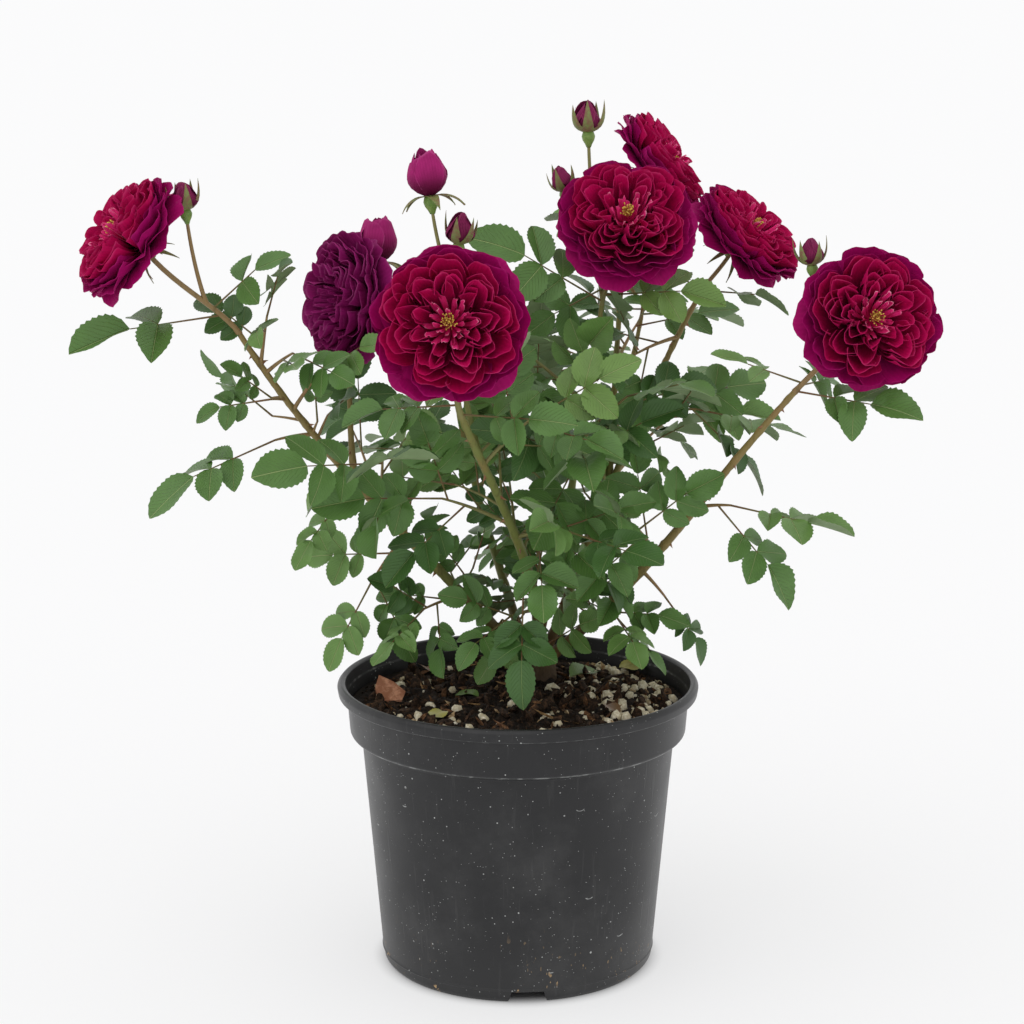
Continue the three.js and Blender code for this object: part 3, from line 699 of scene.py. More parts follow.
    def grow_leaf(self, owner: str, root: np.ndarray, direction: np.ndarray, size: float, count: int,
                  chance: Chance, margin: float = RULE.clear) -> Optional[Leaf]:
        """Tries a leaf a few ways and keeps the one that loses fewest leaflets.

        Args:
            owner: the stem that it grows on, which it may touch.
            root: where it leaves that stem.
            direction: which way it would start.
            size: its length.
            count: how many leaflets it would have.
            chance: what varies it.
            margin: how far its leaflets stay from those of other leaves.

        Returns:
            The leaf, or None where there is no room for half of one.
        """
        best: Optional[Leaf] = None
        for i in range(RULE.tries):
            shake = chance.jitter()
            way = leaning(direction, shake, RULE.shake + RULE.shake * i)
            leaf = self.compound_leaf(root, way, size, count, chance)
            stalk = np.array([leaf.stalk.at(t) for t in (0.35, 0.6, 0.8, 1)])
            if not self.room.is_clear(stalk, RULE.stalk_clear, RULE.stalk_limb_clear, owner):
                continue
            leaf.leaflets = [
                leaflet for leaflet in leaf.leaflets
                if self.room.is_clear(leaflet.spots(), margin, RULE.limb_clear, owner)
            ]
            if best is None or len(leaf.leaflets) > len(best.leaflets):
                best = leaf
            if len(best.leaflets) == count:
                break
        if best is None or len(best.leaflets) < math.ceil(count / 2):
            return None
        self.room.add_limb(best.stalk, RULE.stalk, Leaf.STALK_STEPS, owner)
        self.room.add_leaf(best)
        self.leaves.append(best)
        return best

    def grow_shoot(self, name: str, plan: ShootPlan, chance: Chance) -> None:
        """Grows a shoot: its stem, leaves set round it by a fixed turn, and an end leaf.

        Args:
            name: its name in SHOOTS.
            plan: where it grows and what it bears.
            chance: what varies it.
        """
        root = self.canes[plan.cane].at(plan.at)
        to = vec(plan.to)
        stem = Curve((root, root + to * 0.5 + UP * float(np.linalg.norm(to)) * 0.06, root + to))
        self.room.add_limb(stem, 1.4, 4, name)
        count = 5 if plan.open else 3
        first = chance() * 360
        grown, last = [], 0.3
        for i in range(plan.leaves):
            share = mix(0.42, 0.92, 0.4 if plan.leaves == 1 else i / (plan.leaves - 1))
            direction = self.leaf_direction(stem, share, first + i * RULE.turn)
            size = plan.size * mix(0.85, 1, chance())
            grown.append(self.grow_leaf(name, stem.at(share), direction, size, count, chance))
            last = share if grown[-1] else last
        grown.append(self.grow_leaf(name, stem.at(1), stem.tangent(1), plan.size, count, chance))
        self.stems.append(Stem(stem if grown[-1] else stem.first_part(last), 1.5, 0.75))
        if not plan.open:
            for i, leaf in enumerate(grown):
                if leaf:
                    seed = LEAFLET_SEEDS + len(self.leaves) * LEAF_SEED_STEP + i
                    self.set_leaflets(leaf, 5, Chance(seed))

    @staticmethod
    def leaf_direction(stem: Curve, share: float, turn: float) -> np.ndarray:
        """The way a leaf leaves its stem.

        Args:
            stem: the stem.
            share: where on the stem.
            turn: how far round it, in degrees.

        Returns:
            A unit vector.
        """
        tangent = stem.tangent(share)
        side = square_to(tangent, UP)
        across = np.cross(tangent, side)
        away = side * math.cos(math.radians(turn)) + across * math.sin(math.radians(turn))
        lean = math.radians(RULE.lean)
        return unit(tangent * math.cos(lean) + away * math.sin(lean) + UP * RULE.lift)

    def plan_top(self, name: str, plan: TopPlan) -> Curve:
        """A flowering top's stem, bloom and buds, with the room that they take.

        Args:
            name: its name in TOPS, and its cane's.
            plan: what it bears.

        Returns:
            Its stem's curve.
        """
        cane = self.canes[name]
        tip = cane.at(1)
        line = [tip, *(tip + vec(p) for p in plan.stem)]
        line[1] = tip + cane.tangent(1) * float(np.linalg.norm(plan.stem[0]))
        stem = Curve(tuple(line))
        radius = CANES[name].radius[1]
        self.stems.append(Stem(stem, radius * 0.68, radius * 0.62))
        if plan.bloom:
            faces = unit(vec(plan.bloom.faces))
            base = stem.at(1)
            self.blooms.append(Bloom(base, faces, plan.bloom.size, name))
            self.room.balls.append((base + faces * plan.bloom.size * 0.26, plan.bloom.size * 0.5))
        for bud in plan.buds:
            start, base = stem.at(bud.at), tip + vec(bud.base)
            last = bud.at == 1
            up = stem.tangent(1) if last else leaning(unit(base - start), UP, 0.8)
            self.buds.append(Bud(base, up, bud.size, bud.open))
            self.room.balls.append((base + up * bud.size * 0.7, bud.size * 0.75))
            if not last:
                reach = float(np.linalg.norm(base - start))
                side = Curve((start, base - up * 0.55 * reach, base))
                self.room.add_limb(side, 1.2, 4, "top:" + name)
                self.stems.append(Stem(side, 1.5, 1.1))
                self.buds[-1].stem = self.stems[-1]
        self.room.add_limb(stem, 2, 4, "top:" + name)
        return stem

    def grow_top_leaves(self, name: str, stem: Curve) -> None:
        """Grows the leaves of a flowering top.

        Args:
            name: its name in TOPS.
            stem: its stem's curve.
        """
        chance = Chance(TOP_SEEDS + len(name.replace("_", "")) * LEAF_SEED_STEP)
        for plan in TOPS[name].leaves:
            root = stem.at(plan.at)
            direction = unit(stem.at(0) + vec(plan.to) - root)
            leaf = self.grow_leaf("top:" + name, root, direction, plan.size, plan.leaflets, chance)
            if leaf:
                leaf.young = True


@dataclass(frozen=True)
class FineTwigs:
    """The finer twigs that fill the crown between its shoots, each with a few leaves."""

    seed: int = 4100
    wanted: int = 34
    tries: int = 900
    margin: float = 5.0
    centre: Triple = (8, 26, 312)
    reach: Triple = (104, 138, 112)
    hosts: tuple[tuple[str, float, float, float], ...] = (
        ("centre", 0.12, 0.95, 3.0),
        ("front", 0.08, 0.8, 3.0),
        ("left", 0.1, 0.55, 2.2),
        ("right", 0.1, 0.5, 1.4),
        ("right_back", 0.15, 0.95, 2.4),
        ("back_left", 0.15, 0.95, 1.8),
        ("high", 0.1, 0.7, 1.6),
        ("back_right", 0.1, 0.8, 1.6),
        ("pair", 0.0, 0.6, 0.4),
    )

    def inside(self, points: np.ndarray) -> bool:
        """Tells whether points lie inside the crown."""
        return bool(((((points - vec(self.centre)) / vec(self.reach)) ** 2).sum(1) < 1).all())

    def grow(self, plant: Plant) -> int:
        """Adds the twigs to the plant, where there is room for them.

        Args:
            plant: the plant, which gains their stems and leaves.

        Returns:
            How many twigs grew.
        """
        chance = Chance(self.seed)
        weights = np.cumsum([host[3] for host in self.hosts])
        grown = 0
        for number in range(self.tries):
            if grown == self.wanted:
                break
            host, low, high, _ = self.hosts[int(np.searchsorted(weights, chance() * weights[-1], "right"))]
            curve, share = plant.canes[host], chance.between(low, high)
            root, tangent = curve.at(share), curve.tangent(share)
            round_it = square_to(tangent, chance.jitter() + UP * 0.1)
            to = leaning(round_it, tangent, 0.5) * chance.between(16, 46)
            if not self.inside((root + to)[None]):
                continue
            name = f"fine{self.seed}.{number}"
            stem = Curve((root, root + to * 0.5 + UP * 3, root + to))
            spots = stem.sampled(4, 0.45)
            if not plant.room.is_clear(spots, 4.0, 1.5, name):
                continue
            grown += self.leaf_twig(plant, name, stem, chance)
        return grown

    def leaf_twig(self, plant: Plant, name: str, stem: Curve, chance: Chance) -> int:
        """Sets leaves on a fine twig.

        Args:
            plant: the plant that gains them.
            name: the twig's name as an owner of room.
            stem: its curve.
            chance: what varies it.

        Returns:
            1 if it bears any, and otherwise 0.
        """
        last = 0.0
        first, size = chance() * 360, chance.between(52, 84)
        for i, share in enumerate((0.5, 1.0)):
            direction = stem.tangent(1) if share == 1 else plant.leaf_direction(stem, share, first)
            leaf = plant.grow_leaf(name, stem.at(share), direction, size * mix(0.85, 1, i), 5, chance,
                                   self.margin)
            if leaf is None:
                continue
            if self.inside(np.vstack([x.spots() for x in leaf.leaflets])):
                last = share
            else:
                plant.leaves.remove(leaf)
                plant.room.give_back(leaf)
        if not last:
            return 0
        plant.stems.append(Stem(stem.first_part(last), 1.1, 0.62))
        plant.room.add_limb(stem, 1.2, 3, name)
        return 1


CROWN_TWIGS = (
    FineTwigs(),
    FineTwigs(seed=4207, wanted=5, tries=300, centre=(-152, -14, 398), reach=(66, 56, 62),
              hosts=(("left", 0.5, 0.86, 1.0),)),
)


# ---------------------------------------------------------------- meshes
def grid_faces(rows: int, cols: int, wrap: bool = False) -> np.ndarray:
    """The quads of a grid of points that are counted row by row.

    Args:
        rows: how many rows of points there are.
        cols: how many points are in a row.
        wrap: whether each row closes on itself.

    Returns:
        The corner numbers, four to a row.
    """
    r, c = np.meshgrid(np.arange(rows - 1), np.arange(cols if wrap else cols - 1), indexing="ij")
    after = (c + 1) % cols
    corner = [r * cols + c, r * cols + after, (r + 1) * cols + after, (r + 1) * cols + c]
    return np.stack(corner, -1).reshape(-1, 4)


class Shape:
    """Points in millimetres and faces, gathered from the many parts of one piece."""

    def __init__(self) -> None:
        """Starts empty."""
        self.points: list[np.ndarray] = []
        self.faces: list[np.ndarray] = []
        self.slots: list[np.ndarray] = []
        self.marks: list[np.ndarray] = []
        self.count = 0

    def add(self, points: np.ndarray, blocks: Iterable[np.ndarray], slot: int = 0,
            marks: Optional[np.ndarray] = None) -> None:
        """Adds one part.

        Args:
            points: its points, as rows.
            blocks: its faces, as arrays of corner numbers, one array for each number of corners.
            slot: the place of its material among the piece's.
            marks: its UV for each point, where its material reads one.
        """
        for block in blocks:
            self.faces.append(block + self.count)
            self.slots.append(np.full(len(block), slot))
        self.points.append(points)
        self.marks.append(np.zeros((len(points), 2)) if marks is None else marks)
        self.count += len(points)

    def add_sheet(self, grid: np.ndarray, thickness: float, slot: int = 0) -> None:
        """Adds a thin closed sheet that follows a grid of points; its UV runs over the grid.

        Args:
            grid: rows and columns of points on the sheet's upper side.
            thickness: how thick it is.
            slot: the place of its material.
        """
        rows, cols = grid.shape[:2]
        normal = np.cross(np.gradient(grid, axis=1), np.gradient(grid, axis=0))
        normal /= np.maximum(np.linalg.norm(normal, axis=2, keepdims=True), 1e-9)
        under = grid - normal * thickness
        faces, size = grid_faces(rows, cols), rows * cols
        rim = np.concatenate([
            np.arange(cols), np.arange(1, rows) * cols + cols - 1,
            (rows - 1) * cols + np.arange(cols - 2, -1, -1), np.arange(rows - 2, 0, -1) * cols,
        ])
        after = np.roll(rim, -1)
        edge = np.stack([rim, after, after + size, rim + size], -1)
        v, u = np.meshgrid(np.linspace(0, 1, rows), np.linspace(0, 1, cols), indexing="ij")
        marks = np.tile(np.stack([u, v], -1).reshape(-1, 2), (2, 1))
        points = np.concatenate([grid.reshape(-1, 3), under.reshape(-1, 3)])
        self.add(points, [faces, faces[:, ::-1] + size, edge], slot, marks)

    def add_tube(self, points: np.ndarray, radii: np.ndarray, sides: int, slot: int = 0,
                 relief: Optional[Callable[[np.ndarray], np.ndarray]] = None) -> None:
        """Adds a closed tube along points.

        Args:
            points: the points of its middle line, as rows.
            radii: its radius at each.
            sides: how many sides it has.
            slot: the place of its material.
            relief: gives how far each point stands out.
        """
        tangents = np.gradient(points, axis=0)
        tangents /= np.linalg.norm(tangents, axis=1, keepdims=True)
        side = square_to(tangents[0], vec((0.31, 0.2, 0.93)))
        rows = []
        for point, tangent, radius in zip(points, tangents, radii):
            side = square_to(tangent, side)
            rows.append(point + circle(sides) @ np.array([side, np.cross(tangent, side)]) * radius)
        ring = np.array(rows)
        if relief:
            out = ring - points[:, None]
            out /= np.linalg.norm(out, axis=2, keepdims=True)
            ring = ring + out * relief(ring)[..., None]
        self.add_closed(ring, points[0], points[-1], slot)

    def add_closed(self, ring: np.ndarray, foot: np.ndarray, tip: np.ndarray, slot: int = 0) -> None:
        """Adds a round body from rings of points.

        Args:
            ring: its rings of points.
            foot: the point that closes its foot.
            tip: the point that closes its tip.
            slot: the place of its material.
        """
        rows, sides = ring.shape[:2]
        points = np.concatenate([ring.reshape(-1, 3), foot[None], tip[None]])
        k = np.arange(sides)
        after = (k + 1) % sides
        last = (rows - 1) * sides
        ends = np.concatenate([
            np.stack([after, k, np.full(sides, rows * sides)], -1),
            np.stack([last + k, last + after, np.full(sides, rows * sides + 1)], -1),
        ])
        self.add(points, [grid_faces(rows, sides, wrap=True), ends], slot)

    def add_lathe(self, profile: np.ndarray, sides: int, slot: int = 0, foot: np.ndarray = ORIGIN,
                  axis: np.ndarray = UP, size: float = 1.0) -> None:
        """Adds a body turned about an axis.

        Args:
            profile: radius and height of its points, from the axis round to the axis.
            sides: how many sides it has.
            slot: the place of its material.
            foot: where its axis starts.
            axis: which way its axis runs.
            size: what its radii and heights are multiplied by.
        """
        side = vec((1, 0, 0)) if axis is UP else square_to(axis, UP)
        away = circle(sides) @ np.array([side, np.cross(axis, side)]) * size
        up = foot + profile[:, 1:] * axis * size
        self.add_closed(profile[1:-1, :1, None] * away + up[1:-1, None], up[0], up[-1], slot)

    def build(self, name: str, materials: Sequence[bpy.types.Material], sharp: float = 50.0,
              marked: bool = False) -> bpy.types.Object:
        """Makes the object, in metres, with its faces outwards.

        Args:
            name: the piece's name.
            materials: its materials, in the order of its slots.
            sharp: edges turned more than this many degrees stay sharp.
            marked: whether it carries its UV map.

        Returns:
            The object, at the origin.
        """
        mesh = bpy.data.meshes.new(name)
        faces = [face for block in self.faces for face in block.tolist()]
        mesh.from_pydata((np.concatenate(self.points) * MM).tolist(), [], faces)
        mesh.polygons.foreach_set("material_index", np.concatenate(self.slots).astype(np.int32))
        for material in materials:
            mesh.materials.append(material)
        if marked:
            layer = mesh.uv_layers.new(name="UVMap")
            corners = np.zeros(len(mesh.loops), np.int32)
            mesh.loops.foreach_get("vertex_index", corners)
            layer.uv.foreach_set("vector", np.concatenate(self.marks)[corners].astype(np.float32).ravel())
        return finished(mesh, name, sharp)

    def template(self, name: str) -> bpy.types.Mesh:
        """Makes only the mesh, to be set out many times.

        Args:
            name: the mesh's name.

        Returns:
            The mesh.
        """
        made = self.build(name, [])
        mesh = made.data
        bpy.data.objects.remove(made)
        return mesh


def shown(name: str, data: bpy.types.ID) -> bpy.types.Object:
    """Puts a mesh, a lamp or a camera in the scene.

    Args:
        name: its name.
        data: the mesh, lamp or camera.

    Returns:
        The object.
    """
    made = bpy.data.objects.new(name, data)
    bpy.context.scene.collection.objects.link(made)
    return made


def finished(mesh: bpy.types.Mesh, name: str, sharp: float = 50.0) -> bpy.types.Object:
    """Turns a mesh's faces outwards, shades it smooth between its sharp edges and shows it.

    Args:
        mesh: the mesh.
        name: the object's name.
        sharp: edges turned more than this many degrees stay sharp.

    Returns:
        The object.
    """
    work = bmesh.new()
    work.from_mesh(mesh)
    bmesh.ops.recalc_face_normals(work, faces=work.faces)
    work.to_mesh(mesh)
    work.free()
    mesh.shade_smooth()
    mesh.set_sharp_from_angle(angle=math.radians(sharp))
    return shown(name, mesh)


def enter(piece: bpy.types.Object, slot: str, replaced: Sequence[str] = ()) -> None:
    """Attaches a finished piece to the frame's body, hides the nodes that it stands for and reports it.

    Args:
        piece: the piece.
        slot: the name of its material slot, which is only reported.
        replaced: the nodes it stands for.
    """
    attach(piece, BODY)
    if replaced:
        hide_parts(*replaced)
    piece.data.calc_loop_triangles()
    LOG.info("%s: %d triangles, slot %s, for %d nodes", piece.name,
             len(piece.data.loop_triangles), slot, len(replaced))


# ---------------------------------------------------------------- node trees
Socketed = Union["Wire", float, Sequence[float]]


def find_socket(sockets: Sequence[bpy.types.NodeSocket], key: Union[int, str]) -> bpy.types.NodeSocket:
    """A node's socket by place, identifier or name.

    Args:
        sockets: the node's inputs or its outputs.
        key: the place, identifier or name.

    Returns:
        The socket.
    """
    if isinstance(key, int):
        return sockets[key]
    for socket in sockets:
        if socket.identifier == key:
            return socket
    return sockets[key]


def arithmetic(operation: str, swapped: bool = False) -> Callable[["Wire", Socketed], "Wire"]:
    """Makes a wire's operator, which adds one Math node.

    Args:
        operation: the node's operation.
        swapped: whether the wire is the second of its two values.

    Returns:
        The operator.
    """
    def operate(wire: "Wire", other: Socketed) -> "Wire":
        """Adds the node and gives its output."""
        return wire.graph.maths(operation, *((other, wire) if swapped else (wire, other)))
    return operate


class Wire:
    """A node's output, on which arithmetic adds Math nodes."""

    def __init__(self, graph: "Graph", socket: bpy.types.NodeSocket) -> None:
        """Wraps an output of a graph's node."""
        self.graph = graph
        self.socket = socket

    def out(self, key: Union[int, str]) -> "Wire":
        """Another output of the same node."""
        return Wire(self.graph, find_socket(self.socket.node.outputs, key))

    __add__, __radd__ = arithmetic("ADD"), arithmetic("ADD", swapped=True)
    __sub__, __rsub__ = arithmetic("SUBTRACT"), arithmetic("SUBTRACT", swapped=True)
    __mul__, __rmul__ = arithmetic("MULTIPLY"), arithmetic("MULTIPLY", swapped=True)

    def __abs__(self) -> "Wire":
        """The size without its sign."""
        return self.graph.maths("ABSOLUTE", self)

    def wave(self) -> "Wire":
        """The sine."""
        return self.graph.maths("SINE", self)

    def rising(self, low: float, high: float) -> "Wire":
        """A smooth step from 0 at low to 1 at high, which may be the lower one."""
        return self.graph.add(
            "ShaderNodeMapRange", {"interpolation_type": "SMOOTHSTEP"},
            {"Value": self, "From Min": low, "From Max": high})


class Graph:
    """A node tree that is being built."""

    def __init__(self, tree: bpy.types.NodeTree) -> None:
        """Wraps a tree."""
        self.tree = tree

    def add(self, kind: str, settings: Optional[dict] = None, sockets: Optional[dict] = None,
            out: Union[int, str] = 0) -> Wire:
        """Adds a node.

        Args:
            kind: the node's type.
            settings: its own settings, which are set first.
            sockets: the values or wires of its inputs, by place, identifier or name.
            out: the output that is wanted.

        Returns:
            That output.
        """
        node = self.tree.nodes.new(kind)
        for name, value in (settings or {}).items():
            setattr(node, name, value)
        for key, value in (sockets or {}).items():
            socket = find_socket(node.inputs, key)
            if isinstance(value, Wire):
                self.tree.links.new(value.socket, socket)
            else:
                socket.default_value = value
        return Wire(self, find_socket(node.outputs, out)) if node.outputs else None

    def maths(self, operation: str, *values: Socketed) -> Wire:
        """Adds a Math node on one or two values."""
        return self.add("ShaderNodeMath", {"operation": operation}, dict(enumerate(values)))


def tint(red: float, green: float, blue: float) -> tuple[float, float, float, float]:
    """A colour's linear value from its screen value.

    Args:
        red: its red, from 0 to 255.
        green: its green.
        blue: its blue.

    Returns:
        Its linear red, green, blue and 1.
    """
    def linear(c: float) -> float:
        """One channel's linear value."""
        c /= 255
        return c / 12.92 if c <= 0.04045 else ((c + 0.055) / 1.055) ** 2.4
    return (linear(red), linear(green), linear(blue), 1.0)


class Shader(Graph):
    """A material on one Principled shader."""

    def __init__(self, name: str, **uniform: float) -> None:
        """Starts a material.

        Args:
            name: its name.
            uniform: values that are the same all over, set on the shader's own sockets.
        """
        self.material = bpy.data.materials.new(name)
        self.material.use_nodes = True
        super().__init__(self.material.node_tree)
        self.body = self.tree.nodes["Principled BSDF"]
        for key, value in uniform.items():
            self.body.inputs[key.replace("_", " ").title().replace("Ior", "IOR")].default_value = value

    def feed(self, **inputs: Socketed) -> bpy.types.Material:
        """Feeds the shader's inputs and returns the material.

        Args:
            inputs: wires or values, by the inputs' names in small letters.

        Returns:
            The material.
        """
        for key, value in inputs.items():
            socket = self.body.inputs[key.replace("_", " ").title()]
            if isinstance(value, Wire):
                self.tree.links.new(value.socket, socket)
            else:
                socket.default_value = value
        return self.material

    def where(self, scale: Triple = (1, 1, 1)) -> Wire:
        """The place on the object, in metres, stretched by a scale.

        Args:
            scale: how far it is stretched along each axis.

        Returns:
            The place.
        """
        place = self.add("ShaderNodeTexCoord", out="Object")
        if scale == (1, 1, 1):
            return place
        return self.add("ShaderNodeMapping", {"vector_type": "POINT"}, {"Vector": place, "Scale": scale})

    def along(self, axis: str, place: Optional[Wire] = None) -> Wire:
        """One coordinate of the place on the object, or of another place."""
        return self.add("ShaderNodeSeparateXYZ", sockets={0: place or self.where()}).out(axis)

    def marks(self) -> tuple[Wire, Wire]:
        """The two numbers of the piece's UV map.

        Returns:
            The number across the piece's sheets and the one along them.
        """
        both = self.add("ShaderNodeUVMap", {"uv_map": "UVMap"})
        split = self.add("ShaderNodeSeparateXYZ", sockets={0: both})
        return split.out("X"), split.out("Y")

    def noise(self, scale: float, detail: float = 3.0, roughness: float = 0.5,
              place: Optional[Wire] = None) -> Wire:
        """Cloudy noise from 0 to 1, about so many clouds to a metre."""
        return self.add("ShaderNodeTexNoise", sockets={
            "Vector": place or self.where(), "Scale": scale, "Detail": detail, "Roughness": roughness})

    def cells(self, scale: float, place: Optional[Wire] = None) -> tuple[Wire, Wire]:
        """Scattered cells: how far their middles are, and a number of each cell's own.

        Args:
            scale: about how many cells there are to a metre.
            place: the place that is asked about.

        Returns:
            The distance of the nearest middle, and a number of that cell's own.
        """
        found = self.add("ShaderNodeTexVoronoi", sockets={"Vector": place or self.where(), "Scale": scale})
        own = self.add("ShaderNodeSeparateColor", sockets={0: found.out("Color")})
        return found, own

    def blend(self, share: Socketed, *colours: Socketed) -> Wire:
        """A colour between two, at a share; a plain colour is given by its screen values."""
        first, second = (c if isinstance(c, Wire) else tint(*c) for c in colours)
        return self.add("ShaderNodeMix", {"data_type": "RGBA"},
                        {"Factor_Float": share, "A_Color": first, "B_Color": second}, "Result_Color")

    def bump(self, height: Wire, depth: float) -> Wire:
        """A normal from a height between 0 and 1 that stands for so many millimetres."""
        return self.add("ShaderNodeBump", sockets={"Strength": 1.0, "Distance": depth * MM, "Height": height})


class GeometryTree(Graph):
    """A Geometry Nodes tree with named inputs, run once on an object and turned into a plain mesh."""

    def __init__(self, name: str) -> None:
        """Starts a tree with one geometry input and one geometry output.

        Args:
            name: its name.
        """
        super().__init__(bpy.data.node_groups.new(name, "GeometryNodeTree"))
        self.tree.interface.new_socket("Geometry", in_out="INPUT", socket_type="NodeSocketGeometry")
        self.tree.interface.new_socket("Geometry", in_out="OUTPUT", socket_type="NodeSocketGeometry")
        self.entry = self.tree.nodes.new("NodeGroupInput")
        self.values: dict[str, object] = {}
        self.shelf: Optional[bpy.types.Collection] = None

    def input(self, name: str, kind: str, value: object) -> Wire:
        """Adds a named input with the value that the modifier will give it.

        Args:
            name: its name.
            kind: its socket type, without NodeSocket.
            value: its value.

        Returns:
            The input's wire.
        """
        socket = self.tree.interface.new_socket(name, in_out="INPUT", socket_type="NodeSocket" + kind)
        self.values[socket.identifier] = value
        return Wire(self, find_socket(self.entry.outputs, socket.identifier))

    def geometry(self) -> Wire:
        """The geometry that comes in."""
        return Wire(self, self.entry.outputs[0])

    def attribute(self, name: str, kind: str = "FLOAT") -> Wire:
        """A named attribute of the geometry."""
        return self.add("GeometryNodeInputNamedAttribute", {"data_type": kind}, {"Name": name})

    def set_out(self, shapes: Sequence[bpy.types.Mesh], points: Wire, pick: Wire, turn: Wire,
                size: Wire) -> Wire:
        """Sets one of some shapes on each point and makes them real.

        Args:
            shapes: the shapes.
            points: the points.
            pick: which shape each takes.
            turn: how each is turned, as Euler angles.
            size: how large each is.

        Returns:
            The geometry.
        """
        self.shelf = bpy.data.collections.new("shapes")
        for i, shape in enumerate(shapes):
            self.shelf.objects.link(bpy.data.objects.new(f"{shape.name}_{i}", shape))
        things = self.add("GeometryNodeCollectionInfo", sockets={
            "Collection": self.input("Shapes", "Collection", self.shelf),
            "Separate Children": True, "Reset Children": True})
        placed = self.add("GeometryNodeInstanceOnPoints", sockets={
            "Points": points, "Instance": things, "Pick Instance": True, "Instance Index": pick,
            "Rotation": self.add("FunctionNodeEulerToRotation", sockets={0: turn}), "Scale": size})
        return self.add("GeometryNodeRealizeInstances", sockets={"Geometry": placed})

    def run(self, result: Wire, base: bpy.types.Object) -> bpy.types.Mesh:
        """Runs the tree on an object, which it then removes.

        Args:
            result: the geometry that goes out.
            base: the object whose geometry comes in.

        Returns:
            The plain mesh that comes out.
        """
        leave = self.tree.nodes.new("NodeGroupOutput")
        self.tree.links.new(result.socket, leave.inputs[0])
        modifier = base.modifiers.new("grown", "NODES")
        modifier.node_group = self.tree
        for identifier, value in self.values.items():
            modifier[identifier] = value
        base.update_tag()
        graph = bpy.context.evaluated_depsgraph_get()
        mesh = bpy.data.meshes.new_from_object(base.evaluated_get(graph), depsgraph=graph)
        base.modifiers.remove(modifier)
        for made in (base, *(self.shelf.objects if self.shelf else ())):
            bpy.data.objects.remove(made)
        return mesh


class Setting:
    """Where templates go: for each its place, turn, size, template and tint."""

    def __init__(self) -> None:
        """Starts empty."""
        self.rows: list[list[float]] = []

    def add(self, point: np.ndarray, axes: tuple[np.ndarray, np.ndarray, np.ndarray],
            size: Triple, kind: int = 0, colour: int = 0) -> None:
        """Adds one template.

        Args:
            point: where its origin goes.
            axes: the directions of its three axes.
            size: its size along each, in millimetres for one unit of the template.
            kind: which template it is.
            colour: the place of its tint.
        """
        turn = Matrix(np.array(axes).T.tolist()).to_euler()
        self.rows.append([*(vec(point) * MM), *turn, *(vec(size) * MM), kind, colour])

    def grow(self, name: str, templates: Sequence[bpy.types.Mesh],
             materials: Sequence[tuple[bpy.types.Material, Optional[bpy.types.Material]]]) -> bpy.types.Mesh:
        """Sets out the templates by Geometry Nodes.

        Args:
            name: the mesh's name.
            templates: the templates, one unit long.
            materials: for each tint, the material of the upper side and, where it differs, of faces
                marked under.

        Returns:
            One plain mesh.
        """
        rows = np.array(self.rows, np.float32)
        mesh = bpy.data.meshes.new(name)
        mesh.from_pydata(rows[:, :3].tolist(), [], [])
        for key, start in (("turn", 3), ("size", 6)):
            made = mesh.attributes.new(key, "FLOAT_VECTOR", "POINT")
            made.data.foreach_set("vector", rows[:, start:start + 3].ravel())
        for key, start in (("kind", 9), ("tint", 10)):
            made = mesh.attributes.new(key, "INT", "POINT")
            made.data.foreach_set("value", rows[:, start].astype(np.int32))
        tree = GeometryTree(name + " set out")
        result = tree.set_out(templates, tree.geometry(), tree.attribute("kind", "INT"),
                              tree.attribute("turn", "FLOAT_VECTOR"), tree.attribute("size", "FLOAT_VECTOR"))
        for i, (upper, under) in enumerate(materials):
            same = tree.add("FunctionNodeCompare", {"data_type": "INT", "operation": "EQUAL"},
                            {"A_INT": tree.attribute("tint", "INT"), "B_INT": i})
            result = tree.add("GeometryNodeSetMaterial", sockets={
                "Geometry": result, "Selection": same,
                "Material": tree.input(f"Upper {i}", "Material", upper)})
            if under:
                below = tree.add("FunctionNodeBooleanMath", {"operation": "AND"},
                                 {0: same, 1: tree.attribute("under", "BOOLEAN")})
                result = tree.add("GeometryNodeSetMaterial", sockets={
                    "Geometry": result, "Selection": below,
                    "Material": tree.input(f"Under {i}", "Material", under)})
        return tree.run(result, shown(name, mesh))


def tubes(name: str, lines: Sequence[tuple[np.ndarray, np.ndarray]], sides: int,
          material: bpy.types.Material) -> bpy.types.Mesh:
    """Grows a tube along each line by Geometry Nodes.

    Args:
        name: the mesh's name.
        lines: for each tube its points and its radius at each.
        sides: how many sides the tubes have.
        material: what they are made of.

    Returns:
        One plain mesh.
    """
    points = np.concatenate([line[0] for line in lines]) * MM
    radii = np.concatenate([line[1] for line in lines]) * MM
    edges, start = [], 0
    for line, _ in lines:
        edges += [(start + i, start + i + 1) for i in range(len(line) - 1)]
        start += len(line)
    mesh = bpy.data.meshes.new(name)
    mesh.from_pydata(points.tolist(), edges, [])
    mesh.attributes.new("thick", "FLOAT", "POINT").data.foreach_set("value", radii.astype(np.float32))
    tree = GeometryTree(name + " tubes")
    curve = tree.add("GeometryNodeMeshToCurve", sockets={"Mesh": tree.geometry()})
    section = tree.add("GeometryNodeCurvePrimitiveCircle", sockets={
        "Resolution": tree.input("Sides", "Int", sides), "Radius": 1.0})
    tube = tree.add("GeometryNodeCurveToMesh", sockets={
        "Curve": curve, "Profile Curve": section, "Scale": tree.attribute("thick"), "Fill Caps": True})
    result = tree.add("GeometryNodeSetMaterial", sockets={
        "Geometry": tree.add("GeometryNodeRealizeInstances", sockets={"Geometry": tube}),
        "Material": tree.input("Skin", "Material", material)})
    return tree.run(result, shown(name, mesh))


